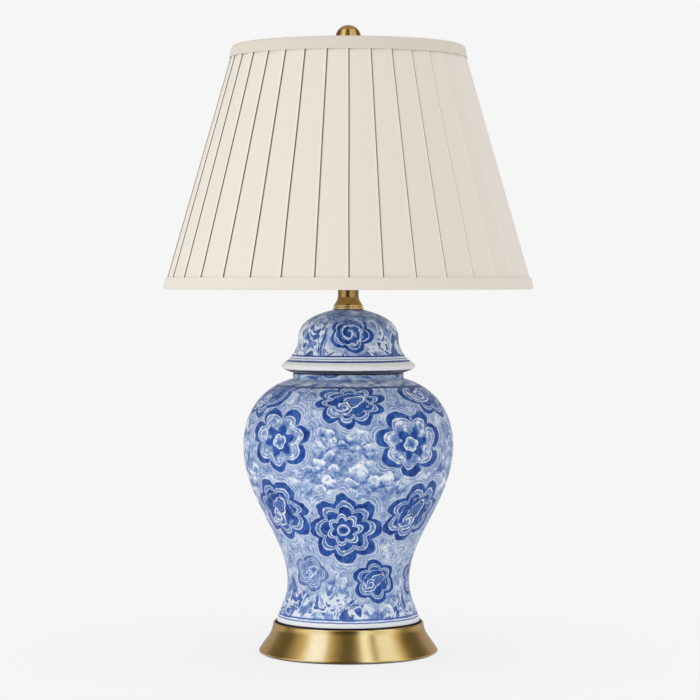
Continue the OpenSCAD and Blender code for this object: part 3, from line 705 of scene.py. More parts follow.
@dataclass(frozen=True)
class PaintedGlaze(Finish):
    """Cobalt flowers painted on white clay, which is the finish's colour, under a clear glaze."""

    pot: Pot = Pot.JAR
    # dark navy, laid as painted shadow in the gap between the lid and the jar's mouth
    shadow_ink: Colour = srgb(8, 20, 50)
    deep: Colour = srgb(4, 36, 100)
    cobalt: Colour = srgb(22, 70, 146)
    bright: Colour = srgb(66, 106, 174)
    middle: Colour = srgb(106, 134, 184)
    wash: Colour = srgb(152, 171, 204)
    white: Colour = srgb(222, 229, 239)
    # pure white: a painted highlight along the lid's rim
    rim_highlight: Colour = srgb(255, 255, 255)

    def material(self, name: str) -> bpy.types.Material:
        """Makes the finish: the ground, the flowers over it, then the painted bands.

        Args:
            name: Name of the material.

        Returns:
            The material.
        """
        paint = Paint(name)
        wobble = paint.noise(40, 2)
        tremble = paint.noise(190, 2, 0.6)
        brush = paint.noise(110, 3, 0.6, 1.2, stretch=(1, 1, 0.5))
        colour = self.ground(paint)
        colour = self.flowers(paint, colour, wobble, tremble, brush)
        bands = self.jar_bands if self.pot is Pot.JAR else self.lid_bands
        colour = bands(paint, colour, tremble)
        peel = paint.noise(240, 1)
        return paint.finished(Base_Color=colour, Roughness=self.roughness + brush * 0.08,
                              Normal=paint.bump(peel, 0.00005), Specular_IOR_Level=0.2,
                              Sheen_Weight=0.3, Sheen_Roughness=0.35)

    def ground(self, paint: Paint) -> Signal:
        """The ground between flowers: a mottled wash, round tufts, drawn contours and loose dabs.

        Args:
            paint: The material.

        Returns:
            The ground's colour.
        """
        _, _, reach = paint.parts(paint.attribute("bloom"))
        height = paint.parts(paint.place)[2] / MM
        warp = paint.take(1, "TexNoise", {"Vector": paint.place, "Scale": 60.0, "Detail": 2.0})
        bent = paint.vector("ADD", paint.place, paint.vector("MULTIPLY", warp, (0.012, 0.012, 0.012)))
        large = paint.noise(42, 3, 0.6, 0.6)
        small = paint.noise(88, 5, 0.62, 2.0)
        streak = paint.noise(85, 3, 0.6, 0.8, stretch=(1.4, 1.4, 0.4))
        dab = paint.noise(40, 3, 0.55, 1.8, stretch=(1, 1, 0.6))
        fine = paint.noise(240, 3, 0.7, 1.6, stretch=(1, 1, 0.6))
        puffs = self.puffs(paint, bent, 52.0) + self.puffs(paint, bent, 88.0) * 0.6
        below, above = (80, 110), (120, 145)  # between these heights, the tufts give way to plain wash
        foot, shoulder = (66, 104), (296, 298)  # and dabs stand under and over these
        clouds = paint.noise(15, 1).rise(-0.24, -0.06) * (1.0 - height.rise(*below) * height.fall(*above))
        body = large * 0.9 + small * 1.5 + streak * 0.6 + fine * 0.9 + 0.53
        tone = body + (puffs - 0.24) * (clouds * 0.75 + 0.13)
        colour = paint.ramp(tone, [(0.0, srgb(56, 92, 160)), (0.2, srgb(98, 128, 180)),
                                   (0.45, srgb(148, 168, 205)), (0.66, srgb(190, 204, 225)),
                                   (0.9, srgb(236, 240, 246))])
        contour = (large * 7 + reach * 3.2).math("FRACT")
        drawn = 1.0 - clouds * 0.7
        ends = (height.fall(*foot) + height.rise(*shoulder)).math("MINIMUM", 1.0) * reach.rise(1.0, 1.2)
        return paint.layered(
            colour, (contour.line(0.4, 0.26) * drawn * 0.5, self.middle),
            (contour.line(0.58, 0.16) * drawn * 0.8, self.white),
            (dab.line(0.01, 0.08) * ends * 0.9, self.white),
            (dab.rise(0.035, 0.06) * ends * 0.85,
             paint.blend(small.rise(-0.1, 0.2), self.cobalt, self.bright)))

    def puffs(self, paint: Paint, where: Signal, rate: float) -> Signal:
        """Round tufts, one in each cell of a texture: light on top, with a drawn crest and a dark hollow.

        Args:
            paint: The material.
            where: The coordinates.
            rate: Tufts in a metre.

        Returns:
            How much lighter the tufts are than the ground.
        """
        cells = paint.node("TexVoronoi", {"Vector": where, "Scale": rate, "Randomness": 0.85})
        centre, apart = Signal(paint, cells.outputs["Position"]), Signal(paint, cells.outputs["Distance"])
        climb = paint.parts(paint.vector("SUBTRACT", where, centre))[2] * rate
        shine = climb.rise(-0.3, 0.42) * apart.fall(0.36, 0.5)
        crest = apart.line(0.42, 0.2) * climb.rise(-0.05, 0.2)
        hollow = apart.line(0.46, 0.26) * climb.fall(-0.25, 0.0)
        return shine * 0.46 + crest * 0.34 - hollow * 0.3

    def flowers(self, paint: Paint, under: Signal, wobble: Signal, tremble: Signal, brush: Signal) -> Signal:
        """The flowers: scalloped rings about each flower's centre.

        A petal's wave is |cos(n a / 2)| for n petals at angle a, 1 in the middle of a petal and 0 in a notch.
        A scallop is a line at a constant distance over 1 - depth (1 - wave).

        Args:
            paint: The material.
            under: The ground's colour.
            wobble: Slow noise that makes the drawing uneven.
            tremble: Fine noise that makes its lines unsteady.
            brush: Noise of the brush strokes inside a petal.

        Returns:
            The colour with the flowers laid over the ground.
        """
        across, up, reach = paint.parts(paint.attribute("bloom"))
        petals, habit, turn = paint.parts(paint.attribute("habit"))
        far = paint.choose(reach.rise(0.7, 0.8), across.hypot(up), reach)
        rho = far + wobble * 0.14 + tremble * 0.06
        angle = up.math("ARCTAN2", across) + wobble * 0.7
        wave = abs((angle * petals * 0.5 + turn).math("COSINE"))
        inner_wave = abs((angle * (petals - 1.0) * 0.5 + turn * 2).math("COSINE"))
        star = (1.0 - abs(habit - 1.0)).math("MAXIMUM", 0.0)
        swirled = (habit - 1.0).math("MAXIMUM", 0.0)
        outer = rho / (1.0 - (1.0 - wave) * 0.24)
        middle = rho / (0.8 - (1.0 - wave) * 0.2)
        core = rho / (0.47 - (1.0 - inner_wave) * 0.13)
        dense = brush * 2.0 + tremble * 0.9 + 0.52
        cobalt = paint.ramp(dense, [(0.1, self.deep), (0.45, self.cobalt), (1.0, self.bright)])
        faint = paint.parts(paint.attribute("load"))[0]
        cobalt = paint.blend(faint * (0.4 + brush * 2.0), cobalt, self.wash)
        light = tremble * 2.2 + brush * 1.2 + 0.34 + star * 0.38
        pale = paint.ramp(light, [(0.1, self.bright), (0.45, self.middle), (0.8, self.wash),
                                  (1.0, self.white)])
        echo = outer.line(1.05, 0.04) + outer.line(1.14, 0.04) * 0.8 + outer.line(1.24, 0.04) * 0.6
        shade = outer.line(1.095, 0.05) + outer.line(1.19, 0.05) * 0.8 + outer.line(1.29, 0.04) * 0.6
        notch = 1.0 - (star * wave.fall(0.05, 0.3) * (brush * 3 + 0.5))
        edges = middle.line(0.99, 0.06) + middle.line(0.84, 0.05)
        colour = paint.layered(
            under, (outer.fall(1.1, 1.4) * 0.45, self.wash), (echo * (brush * 2.5 + 0.65), self.white),
            (shade * 0.5, self.middle), (outer.fall(0.985, 1.02) * notch, cobalt),
            (middle.fall(0.99, 1.03), pale), (edges * (brush * 2.4 + 0.75), self.white),
            (middle.line(0.92, 0.05) * 0.7, self.middle))
        at = Strokes(cobalt, pale, across, up, angle, rho, core, turn, wobble + tremble)
        loops = self.swirled_heart(paint, at) if self.pot is Pot.JAR else self.rolled_heart(paint, at)
        heart = paint.layered(self.ringed_heart(paint, at), (star, self.starred_heart(paint, at)),
                              (swirled, loops))
        inner = 0.8 if self.pot is Pot.JAR else 0.93
        return paint.blend(middle.fall(inner, inner + 0.04), colour, heart)

    def ringed_heart(self, paint: Paint, at: Strokes) -> Signal:
        """The inside of a ringed flower: cobalt, a double white scallop, cobalt, a white ring and a dot.

        Args:
            paint: The material.
            at: What it is drawn from.

        Returns:
            The heart's colour.
        """
        return paint.layered(
            at.cobalt, (at.core.fall(0.98, 1.02), at.pale),
            (at.core.line(0.99, 0.09) + at.core.line(0.8, 0.08), self.white),
            (at.core.fall(0.7, 0.75), at.cobalt), (at.rho.fall(0.15, 0.17), at.pale),
            (at.rho.line(0.155, 0.05) * 0.8, self.white), (at.rho.fall(0.08, 0.12), at.cobalt))

    def starred_heart(self, paint: Paint, at: Strokes) -> Signal:
        """The inside of a starred flower: a pale wash, a soft six-pointed star, and a white ring.

        Args:
            paint: The material.
            at: What it is drawn from.

        Returns:
            The heart's colour.
        """
        point = abs((at.angle * 3 + at.turn).math("COSINE"))
        star = at.rho / (0.3 + point * point * 0.2)
        ring = at.rho / (0.17 + abs((at.angle * 2 + at.turn).math("COSINE")) * 0.05)
        return paint.layered(
            at.pale, (star.fall(1.0, 1.5) * 0.5, self.middle), (star.fall(0.9, 1.15), at.cobalt),
            (ring.fall(1.0, 1.1), at.pale), (ring.line(0.98, 0.24), self.white),
            (ring.fall(0.3, 0.75), self.bright))

    def swirled_heart(self, paint: Paint, at: Strokes) -> Signal:
        """The inside of a swirled flower: a bud with white scallops near its middle, and a curled stroke.

        Args:
            paint: The material.
            at: What it is drawn from.

        Returns:
            The heart's colour.
        """
        x, y = at.across - 0.13, at.up - 0.1
        lobes = (y.math("ARCTAN2", x) * 2.5).math("SINE") * 0.05
        bud = (x.hypot(y) + at.stray * 0.12) / (0.24 + lobes)
        x, y = at.across + 0.2, at.up + 0.15
        curl = x.hypot(y) + at.stray * 0.2 + y.math("ARCTAN2", x) * 0.045
        edge = (at.rho + at.stray * 0.2).line(0.52, 0.05) * (at.stray * 6).rise(-0.4, 0.3)
        return paint.layered(
            at.cobalt, (curl.fall(0.2, 0.26) * 0.8, at.pale),
            (curl.line(0.25, 0.06) + curl.line(0.11, 0.06), self.white), (edge, self.wash),
            (bud.fall(1.0, 1.08), at.cobalt), (bud.line(1.0, 0.26) * (at.stray * 4 + 0.8), self.white),
            (bud.line(0.6, 0.2) * 0.6, self.wash), (bud.fall(0.3, 0.5), self.bright))

    def rolled_heart(self, paint: Paint, at: Strokes) -> Signal:
        """The inside of a rose: white petals rolled round each other, on a spiral rho + angle / 20 turns.

        Args:
            paint: The material.
            at: What it is drawn from.

        Returns:
            The heart's colour.
        """
        roll = ((at.rho + at.stray * 0.3 + at.angle * 0.05) * 3.2).math("FRACT")
        open_side = (at.angle - 0.4).math("COSINE") * 0.35 + 0.75
        return paint.layered(at.cobalt, (roll.rise(0.52, 0.64) * roll.fall(0.8, 0.92) * open_side, self.wash),
                             (roll.line(0.6, 0.16), self.white))

    def jar_bands(self, paint: Paint, under: Signal, tremble: Signal) -> Signal:
        """The jar's bands: neck streaks, painted shadow in dark ink at the mouth, and two blue lines over the
        white foot.

        Args:
            paint: The material.
            under: The colour so far.
            tremble: Fine noise that makes the lines unsteady.

        Returns:
            The colour with the bands.
        """
        height = paint.parts(paint.place)[2] / MM + tremble * 1.2
        streaks = paint.noise(95, 4, 0.65, 0.9, stretch=(0.6, 0.6, 2.2))
        washed = paint.ramp(streaks * 3.2 + 0.5, [(0.05, self.cobalt), (0.3, self.middle),
                                                  (0.62, srgb(176, 192, 217)), (1.0, self.white)])
        neck, mouth, foot = (297.5, 299.5), (311.4, 312.2), (43.6, 44.6)  # heights over which each begins
        # above mouth, the dark ink is painted shadow of the gap under the lid
        return paint.layered(
            under, (height.rise(*neck), washed), (height.line(298.9, 2.6) * 0.85, self.deep),
            (height.rise(*mouth), self.shadow_ink), (height.fall(*foot), self.colour),
            (height.line(45.6, 2.4) * 0.95, self.bright), (height.line(42.4, 1.9) * 0.9, self.bright))

    def lid_bands(self, paint: Paint, under: Signal, tremble: Signal) -> Signal:
        """The lid's bands: streaks under the brass cap, laid darker as painted shade, and blue lines over the
        white rolled rim, with a painted highlight line on it and painted shadow in dark ink under the seat.

        Args:
            paint: The material.
            under: The colour so far.
            tremble: Fine noise that makes the lines unsteady.

        Returns:
            The colour with the bands.
        """
        height = paint.parts(paint.place)[2] / MM + tremble * 0.8
        streaks = paint.noise(62, 4, 0.62, 1.2, stretch=(1, 1, 2.4))
        crown = paint.ramp(streaks * 4 + 0.38, [(0.1, self.cobalt), (0.4, self.middle), (0.7, self.wash),
                                                (1.0, self.white)])
        top, flare = (362, 376), (331.6, 332.4)  # heights over which each band begins
        rim, seat = (325.4, 326.0), (316.4, 317.2)
        # Above top the crown lays painted streaks that are darker as painted shade. The rim's plain glaze is
        # greyer than the jar's white, as painted shade. The white line at 318.2 is a painted highlight, and the
        # ink under seat is painted shadow of the gap over the jar's mouth.
        return paint.layered(
            under, (height.rise(*top) * 0.9, crown), (height.fall(*flare), self.white),
            (height.line(332.2, 2.2), self.cobalt), (height.line(329.2, 1.3) * 0.8, self.bright),
            (height.fall(*rim), self.colour), (height.line(318.2, 2.4), self.rim_highlight),
            (height.line(326.3, 2.6), self.cobalt), (height.fall(*seat), self.shadow_ink))


FINISHES: dict[str, Finish] = {
    "felt": Felt(srgb(20, 20, 20), 0.95),
    "base_brass": Brass(srgb(232, 192, 108), 0.155),
    "black_plastic": Moulded(srgb(34, 33, 32), 0.45),
    "gasket_rubber": Moulded(srgb(10, 10, 10), 0.9),
    "zinc_steel": PlatedMetal(srgb(190, 192, 196), 0.35),
    "jar_glaze": PaintedGlaze(srgb(232, 233, 235), 0.5, Pot.JAR),
    "lid_glaze": PaintedGlaze(srgb(230, 230, 229), 0.5, Pot.LID),
    # The neck's brass is darker than the base's, as painted shade under the lampshade. Below 387.2 mm it is
    # lightened, as a painted highlight on the cap's beads.
    "neck_brass": Brass(srgb(176, 138, 72), 0.14, patina=srgb(126, 92, 42), age=0.45, painted_highlight_z=0.3872),
    "harp_brass": Brass(srgb(216, 182, 118), 0.3, rings=1200.0),
    "socket_brass": Brass(srgb(228, 192, 118), 0.22, age=0.2),
    "insulating_card": Moulded(srgb(150, 128, 100), 0.85, grain=700.0),
    "phenolic": Moulded(srgb(30, 26, 24), 0.3),
    "shell_aluminium": PlatedMetal(srgb(214, 214, 216), 0.3),
    "contact_brass": PlatedMetal(srgb(216, 184, 108), 0.3),
    "bulb_aluminium": PlatedMetal(srgb(206, 206, 208), 0.32),
    "bulb_black_glass": Moulded(srgb(22, 22, 26), 0.12, relief=0.00001),
    "bulb_white_glass": Moulded(srgb(240, 239, 234), 0.28, relief=0.00001, mottle=0.03),
    "shade_wire": Moulded(srgb(232, 230, 222), 0.4, mottle=0.06),
    "shade_lining": Moulded(srgb(240, 236, 226), 0.75, grain=600.0, mottle=0.04),
    "shade_fabric": WovenCloth(srgb(236, 228, 216), 0.9),
    "shade_band_fabric": WovenCloth(srgb(235, 226, 214), 0.9),
    "finial_brass": Brass(srgb(208, 158, 74), 0.17, age=0.3),
}


class Workbench:
    """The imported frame, and one material for each slot of its record."""

    def __init__(self) -> None:
        """Reads which body and slot each node of the frame has."""
        record = frame["record"]
        self.slots = {part["node"]: part["material_slot"] for part in record["subparts"]}
        self.bodies = {node: body for body, nodes in record["behaviour"]["bodies"].items() for node in nodes}
        self.materials = {slot: finish.material(slot) for slot, finish in FINISHES.items()}

    def fit(self, skin: Skin, name: str, *nodes: str, sharp: float = 40.0) -> bpy.types.Object:
        """Makes a surface a piece of the lamp, in the place of the nodes that it stands for.

        Args:
            skin: The surface.
            name: Name of the piece.
            nodes: Names of those nodes. The piece takes the first one's body and finish.
            sharp: Angle over which an edge stays sharp, in degrees.

        Returns:
            The piece.
        """
        piece = skin.made(name, sharp)
        slot = self.slots[nodes[0]]
        piece.data.materials.append(self.materials[slot])
        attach(piece, self.bodies[nodes[0]])
        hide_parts(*nodes)
        LOG.info("%s: %d faces for %s", name, len(skin.faces), ", ".join(nodes))
        return piece

    def dress(self, *nodes: str) -> None:
        """Gives nodes that keep their own shape the material of their slot.

        Args:
            nodes: Names of the nodes.
        """
        for node in nodes:
            piece = frame["nodes"][node]
            piece.data.materials.clear()
            piece.data.materials.append(self.materials[self.slots[node]])
            LOG.info("%s: dressed as %s", node, self.slots[node])


# The painted pots


class Habit(Enum):
    """How a flower's heart is drawn."""

    RINGED = 0.0
    STARRED = 1.0
    SWIRLED = 2.0


@dataclass(frozen=True)
class Bloom:
    """One painted flower: where it sits on its pot, and how large it is, in millimetres."""

    turn: float  # degrees round the pot from its front, toward the viewer's right
    climb: float  # along the outside of the pot, from where the painting starts
    half_width: float
    half_height: float
    habit: Habit = Habit.RINGED
    petals: int = 8
    lean: float = 0.0  # degrees, its top to the viewer's right
    spin: float = 0.0  # degrees, turns its petals
    drift: tuple[float, float] = (0.0, 0.0)  # how far its rim is off its heart, as a share
    faint: float = 0.0  # how thin its cobalt is


@dataclass
class Garden:
    """The flowers of one pot."""

    blooms: list[Bloom]

    def planted(self, turn: np.ndarray, climb: np.ndarray, radius: np.ndarray) -> dict[str, np.ndarray]:
        """Works out each point's place in the flower nearest to it.

        With x the distance round the pot and y the distance up it from a flower's centre, both leant, its
        place is (x / half width, y / half height), less the drift times its length. The reach is that length,
        and the nearest flower is the one with the least.

        Args:
            turn: Degrees round the pot from its front.
            climb: Millimetres along its outside.
            radius: The pot's radius there, in millimetres.

        Returns:
            Three vectors a point: bloom is (across, up, reach), habit is (petals, kind of heart, turn of its
            petals), and load says three times how thin its cobalt is.
        """
        def column(pick: Callable[[Bloom], float]) -> np.ndarray:
            """One value of every flower, shaped to meet all points."""
            return np.array([pick(bloom) for bloom in self.blooms], float).reshape(-1, 1, 1)

        apart = (turn - column(lambda b: b.turn) + 180) % 360 - 180
        x, y = np.radians(apart) * radius, climb - column(lambda b: b.climb)
        lean = np.radians(column(lambda b: b.lean))
        across = (x * np.cos(lean) - y * np.sin(lean)) / column(lambda b: b.half_width)
        up = (x * np.sin(lean) + y * np.cos(lean)) / column(lambda b: b.half_height)
        length = np.minimum(np.hypot(across, up), 1.2)
        across = across - column(lambda b: b.drift[0]) * length
        up = up - column(lambda b: b.drift[1]) * length
        reach = np.hypot(across, up)
        nearest = reach.argmin(0)[None]

        def picked(*values: np.ndarray) -> np.ndarray:
            """Vectors of some values, read off the nearest flower at each point."""
            whole = np.broadcast_arrays(reach, *values)[1:]
            return np.stack([np.take_along_axis(value, nearest, 0)[0] for value in whole], -1)

        faint = column(lambda b: b.faint)
        return {"bloom": picked(across, up, reach),
                "habit": picked(column(lambda b: b.petals), column(lambda b: b.habit.value),
                                column(lambda b: math.radians(b.spin))),
                "load": picked(faint, faint, faint)}


@dataclass
class PaintedPot:
    """A turned pot with flowers round its outside."""

    outside: np.ndarray
    inside: np.ndarray
    garden: Garden
    columns: int = 360
    step: float = 1.8

    def skin(self) -> Skin:
        """Turns the pot: a fine grid outside, which carries the painting, and a coarse one inside.

        Returns:
            The pot's surface.
        """
        painted = evened(self.outside, self.step)
        path = chain(painted, self.inside, painted[:1])
        turn = np.linspace(-180, 180, self.columns + 1)[None]
        climb = travel(path)[:, None]
        marks = self.garden.planted(turn, climb, path[:, :1] + 0 * turn)
        return Skin.from_grid(turned_grid(path, self.columns), loop=True, **marks)


@dataclass
class Jar:
    """The ginger jar, from its foot to its neck."""

    foot_z: float = 33.5
    foot_r: float = 79.6
    wall: float = 6.0
    mouth_r: float = 61.5
    mouth_z: float = 313.0
    pipe_hole_r: float = 5.9
    foot_edge: float = 0.8
    foot_h: float = 4.5
    waist: tuple[float, float] = (67.8, 48.5)  # radius, and height over the foot
    belly: tuple[float, float] = (116.85, 198.5)
    neck_h: float = 272.7
    mouth_edge: float = 1.0
    floor_h: float = 10.0
    hollow_h: float = 3.0
    ring_w: float = 9.0

    def outside(self) -> np.ndarray:
        """The outside, from the foot's edge to the mouth.

        Returns:
            (radius, height) points, in millimetres.
        """
        z, edge, lip = self.foot_z, self.foot_edge, self.mouth_edge
        foot, neck = [self.foot_r, z + self.foot_h], [self.mouth_r, z + self.neck_h]
        waist, belly = raised(self.waist, z), raised(self.belly, z)
        return chain(arc([self.foot_r - edge, z + edge], edge, -90, 0, 3), [foot],
                     curve(foot, waist, [0.45, 0.37], [1, 0.57]), curve(waist, belly, [0, 0.32], [1, 0.6]),
                     curve(belly, neck, [0, 0.49], [0.354, 0.877]),
                     arc([self.mouth_r - lip, self.mouth_z - lip], lip, 0, 90, 3))

    def inside(self) -> np.ndarray:
        """The wall's inner face from the mouth down, the floor, and the hollow in the foot.

        Returns:
            (radius, height) points, in millimetres.
        """
        edge, lip = 12, 5  # points at the foot and the mouth, which the inner face doesn't follow
        wall = evened(beside(self.outside()[edge:-lip], self.wall), 14)[::-1]
        floor, hollow = self.foot_z + self.floor_h, self.foot_z + self.hollow_h
        ring = self.foot_r - self.ring_w
        return chain([[self.mouth_r - self.wall, self.mouth_z]], wall[wall[:, 1] > floor + 2],
                     [[60, floor], [self.pipe_hole_r, floor], [self.pipe_hole_r, hollow], [ring, hollow],
                      [ring, self.foot_z]])

    def garden(self) -> Garden:
        """The flowers: those of the photographed front, and more of their kind round the back.

        Returns:
            The garden of the jar.
        """
        left = Bloom(-39.5, 218.5, 42, 36, Habit.STARRED, 7, spin=-45, drift=(-0.1, 0.12))
        right = Bloom(35.7, 216.5, 44.5, 37.5, Habit.STARRED, 7, spin=-45, drift=(0.05, 0.06))
        crown = Bloom(1.0, 265, 39, 30, Habit.SWIRLED, 9, spin=90, drift=(0.03, 0.0))
        middle = Bloom(-3.7, 117.5, 41, 43.5, petals=8, drift=(0.07, 0.05))
        low_left = Bloom(-50.5, 141, 38, 38, Habit.SWIRLED, 7, lean=-16, spin=30, drift=(0.12, -0.05))
        low_right = Bloom(46.5, 135, 42, 35, Habit.SWIRLED, 7, lean=-24, spin=60, drift=(0.08, 0.06))
        foot_left = Bloom(-35, 66, 23, 21, Habit.SWIRLED, 5, drift=(-0.1, -0.1), faint=1.0)
        foot_right = Bloom(25.6, 55.5, 26.5, 25, Habit.SWIRLED, 6, lean=10, spin=30)
        shoulder = Bloom(63, 277, 42, 33, Habit.SWIRLED, 7, lean=20)
        front = [left, right, crown, middle, low_left, low_right, foot_left, foot_right, shoulder,
                 replace(shoulder, turn=-65, lean=-25)]
        back = [replace(left, turn=110), replace(right, turn=182), replace(left, turn=-109),
                replace(crown, turn=122), replace(crown, turn=180), replace(crown, turn=-122),
                replace(low_left, turn=97), replace(middle, turn=148), replace(low_right, turn=-159),
                replace(middle, turn=-106), replace(foot_right, turn=83), replace(foot_left, turn=142),
                replace(foot_right, turn=-158), replace(foot_left, turn=-94)]
        return Garden(front + back)

    def build(self, bench: Workbench) -> None:
        """Makes the jar.

        Args:
            bench: The workbench that fits it.
        """
        pot = PaintedPot(self.outside(), self.inside(), self.garden())
        bench.fit(pot.skin(), "glazed_jar", "jar")


@dataclass
class Lid:
    """The jar's lid: a ring in the neck, a rolled rim, a flare and a dome."""

    base_z: float = 313.0
    ring_r: float = 54.9
    ring_t: float = 4.4
    wall: float = 5.5
    pipe_hole_r: float = 5.9
    seat_r: float = 62.3
    nose: tuple[float, float] = (74.6, 7.19)  # radius, and height over the jar's mouth
    roll: tuple[float, float] = (65.9, 14.8)
    dome: tuple[float, float] = (56.0, 36.0)
    top: tuple[float, float] = (17.1, 69.6)
    ring_h: float = 12.0

    def outside(self) -> np.ndarray:
        """The outside, from the seat on the jar's mouth to the flat top.

        Returns:
            (radius, height) points, in millimetres.
        """
        z = self.base_z
        nose, roll, dome, top = (raised(place, z) for place in (self.nose, self.roll, self.dome, self.top))
        return chain(curve([self.seat_r, z], nose, [0.42, 0.22], [1, 0.58]),
                     curve(nose, roll, [0, 0.37], [0.59, 0.63]), curve(roll, dome, [0.495, 0.29], [1, 0.62]),
                     curve(dome, top, [0, 0.586], [0.391, 0.815]))

    def inside(self) -> np.ndarray:
        """The flat top, the dome's inner face from the top down, and the ring in the neck.

        Returns:
            (radius, height) points, in millimetres.
        """
        z, hole, foot_r = self.base_z, self.pipe_hole_r, self.ring_r - self.ring_t
        dome, top = raised(self.dome, z), raised(self.top, z)
        under = beside(curve(dome, top, [0, 0.586], [0.391, 0.815], 12), self.wall)[::-1]
        return chain([[hole, top[1]], [hole, top[1] - self.wall]], under,
                     [[foot_r, z + self.roll[1]], [foot_r, z - self.ring_h], [self.ring_r, z - self.ring_h],
                      [self.ring_r, z]])

    def garden(self) -> Garden:
        """The rose at the front, and two more round the dome."""
        rose = Bloom(0.6, 61, 25, 21.5, Habit.SWIRLED, 5, spin=20, drift=(0.14, -0.12))
        return Garden([rose, replace(rose, turn=121.4), replace(rose, turn=-118.6)])

    def build(self, bench: Workbench) -> None:
        """Makes the lid.

        Args:
            bench: The workbench that fits it.
        """
        pot = PaintedPot(self.outside(), self.inside(), self.garden(), columns=300, step=1.3)
        bench.fit(pot.skin(), "glazed_lid", "lid")


# The brass


@dataclass
class BrassBase:
    """The spun base: a flared skirt with a folded lip, a recessed floor, and felt under it."""

    edge_r: float = 99.7
    edge_round: float = 2.2
    pad_t: float = 1.5
    pad_inset: float = 4.0
    pad_round: float = 0.4
    top_z: float = 35.3
    floor_z: float = 32.0
    rim_in: float = 81.2
    wall: float = 1.3
    flange: float = 8.0
    pipe_hole_r: float = 5.9
    outlet_z: float = 18.0
    outlet_r: float = 5.45

    def shell(self) -> np.ndarray:
        """The shell's closed profile: up the skirt, over the lip, across the floor and back underneath.

        Returns:
            (radius, height) points, in millimetres.
        """
        lip_z = self.top_z - self.wall
        foot = [self.edge_r, self.pad_t + self.edge_round]
        skirt = chain(arc([self.edge_r - self.edge_round, foot[1]], self.edge_round, -90, 0),
                      curve(foot, [self.rim_in + 2 * self.wall, lip_z], [0.46, 0.42], [0.92, 0.55], 60))
        under = beside(skirt, self.wall)[::-1]
        under = under[under[:, 1] < self.floor_z - self.wall - 0.5]
        edge_in = self.edge_r - self.flange
        return chain([[edge_in, self.pad_t]], skirt, arc([self.rim_in + self.wall, lip_z], self.wall, 0, 180),
                     [[self.rim_in, self.floor_z], [self.pipe_hole_r, self.floor_z],
                      [self.pipe_hole_r, self.floor_z - self.wall],
                      [self.rim_in + self.wall, self.floor_z - self.wall]],
                     under, [[edge_in, self.pad_t + self.wall]])

    def build(self, bench: Workbench) -> None:
        """Makes the base and its felt.

        Args:
            bench: The workbench that fits them.
        """
        shell = bench.fit(turned(self.shell(), 256), "spun_base", "base", sharp=50)
        self.drill_outlet(shell)
        pad_r, edge = self.edge_r - self.pad_inset, self.pad_round
        pad = chain([[0, 0], [pad_r - edge, 0]], arc([pad_r - edge, edge], edge, -90, 0, 3),
                    arc([pad_r - edge, self.pad_t - edge], edge, 0, 90, 3), [[0, self.pad_t]])
        felt = bench.fit(turned(pad, 128, loop=False), "felt_disc", "felt_pad")

    def drill_outlet(self, shell: bpy.types.Object) -> None:
        """Cuts the hole for the cord's bushing through the back of the skirt.

        Args:
            shell: The base's shell.
        """
        path = [[0, 0], [self.outlet_r, 0], [self.outlet_r, self.edge_r], [0, self.edge_r]]
        drill = turned(np.array(path), 48, loop=False)
        drill.points = drill.points[:, [0, 2, 1]] * [1, 1, -1] + [0, self.rim_in / 2 * MM, self.outlet_z * MM]
        cutter = drill.made("outlet_drill")
        cut = shell.modifiers.new("outlet", "BOOLEAN")
        cut.object, cut.operation, cut.solver = cutter, "DIFFERENCE", "EXACT"
        drilled = bpy.data.meshes.new_from_object(shell.evaluated_get(bpy.context.evaluated_depsgraph_get()))
        shell.modifiers.clear()
        shell.data = drilled
        bpy.data.objects.remove(cutter)


@dataclass
class BrassNeck:
    """The neck over the lid: a cap with two beads, a plain tube and a check ring."""

    base_z: float = 382.6
    cap_r: float = 17.1
    cap_h: float = 14.1
    bead: float = 1.5
    seat_r: float = 14.7
    flare: tuple[float, float] = (16.2, 5.2)  # where it leaves the beads: radius, and height in the cap
    hollow_r: float = 12.7
    hollow_h: float = 3.0
    tube_r: float = 11.6
    tube_h: float = 30.2
    wall: float = 1.2
    ring_r: float = 13.5
    ring_h: float = 3.5
    pipe_r: float = 5.25

    def build(self, bench: Workbench) -> None:
        """Makes the cap, the tube and the ring.

        Args:
            bench: The workbench that fits them.
        """
        z, bead, ledge = self.base_z, self.bead, self.tube_r - 2.5 * self.wall
        flare = curve(raised(self.flare, z), [self.tube_r + 0.2, z + self.cap_h], [0.4, 0.25], [1, 0.7], 24)
        hollow, low, high = beside(flare, self.wall)[::-1], 2 * self.hollow_h, self.cap_h - 2 * self.wall
        hollow = hollow[(hollow[:, 1] > z + low) & (hollow[:, 1] < z + high)]
        cap = chain([[self.seat_r, z]], arc([self.cap_r - bead, z + bead], bead, -90, 80, 16),
                    arc([self.cap_r - bead - 0.7, z + 2.9 * bead], bead, -55, 50), flare,
                    [[ledge, z + self.cap_h], [ledge, z + self.cap_h - self.wall]], hollow,
                    [[self.hollow_r, z + self.hollow_h], [self.hollow_r, z]])
        bench.fit(turned(cap, 160), "beaded_cap", "neck_cap", sharp=60)
        foot, top = z + self.cap_h, z + self.cap_h + self.tube_h
        inner = self.tube_r - self.wall
        tube = [[inner, foot], [self.tube_r, foot], [self.tube_r, top], [inner, top]]
        bench.fit(turned(np.array(tube), 160), "neck_sleeve", "neck_tube")
        half = self.ring_h / 2
        ring = chain([[self.pipe_r, top]], arc([self.ring_r - half, top + half], half, -90, 90, 20),
                     [[self.pipe_r, top + self.ring_h]])
        bench.fit(turned(ring, 128), "check_nut", "check_ring")


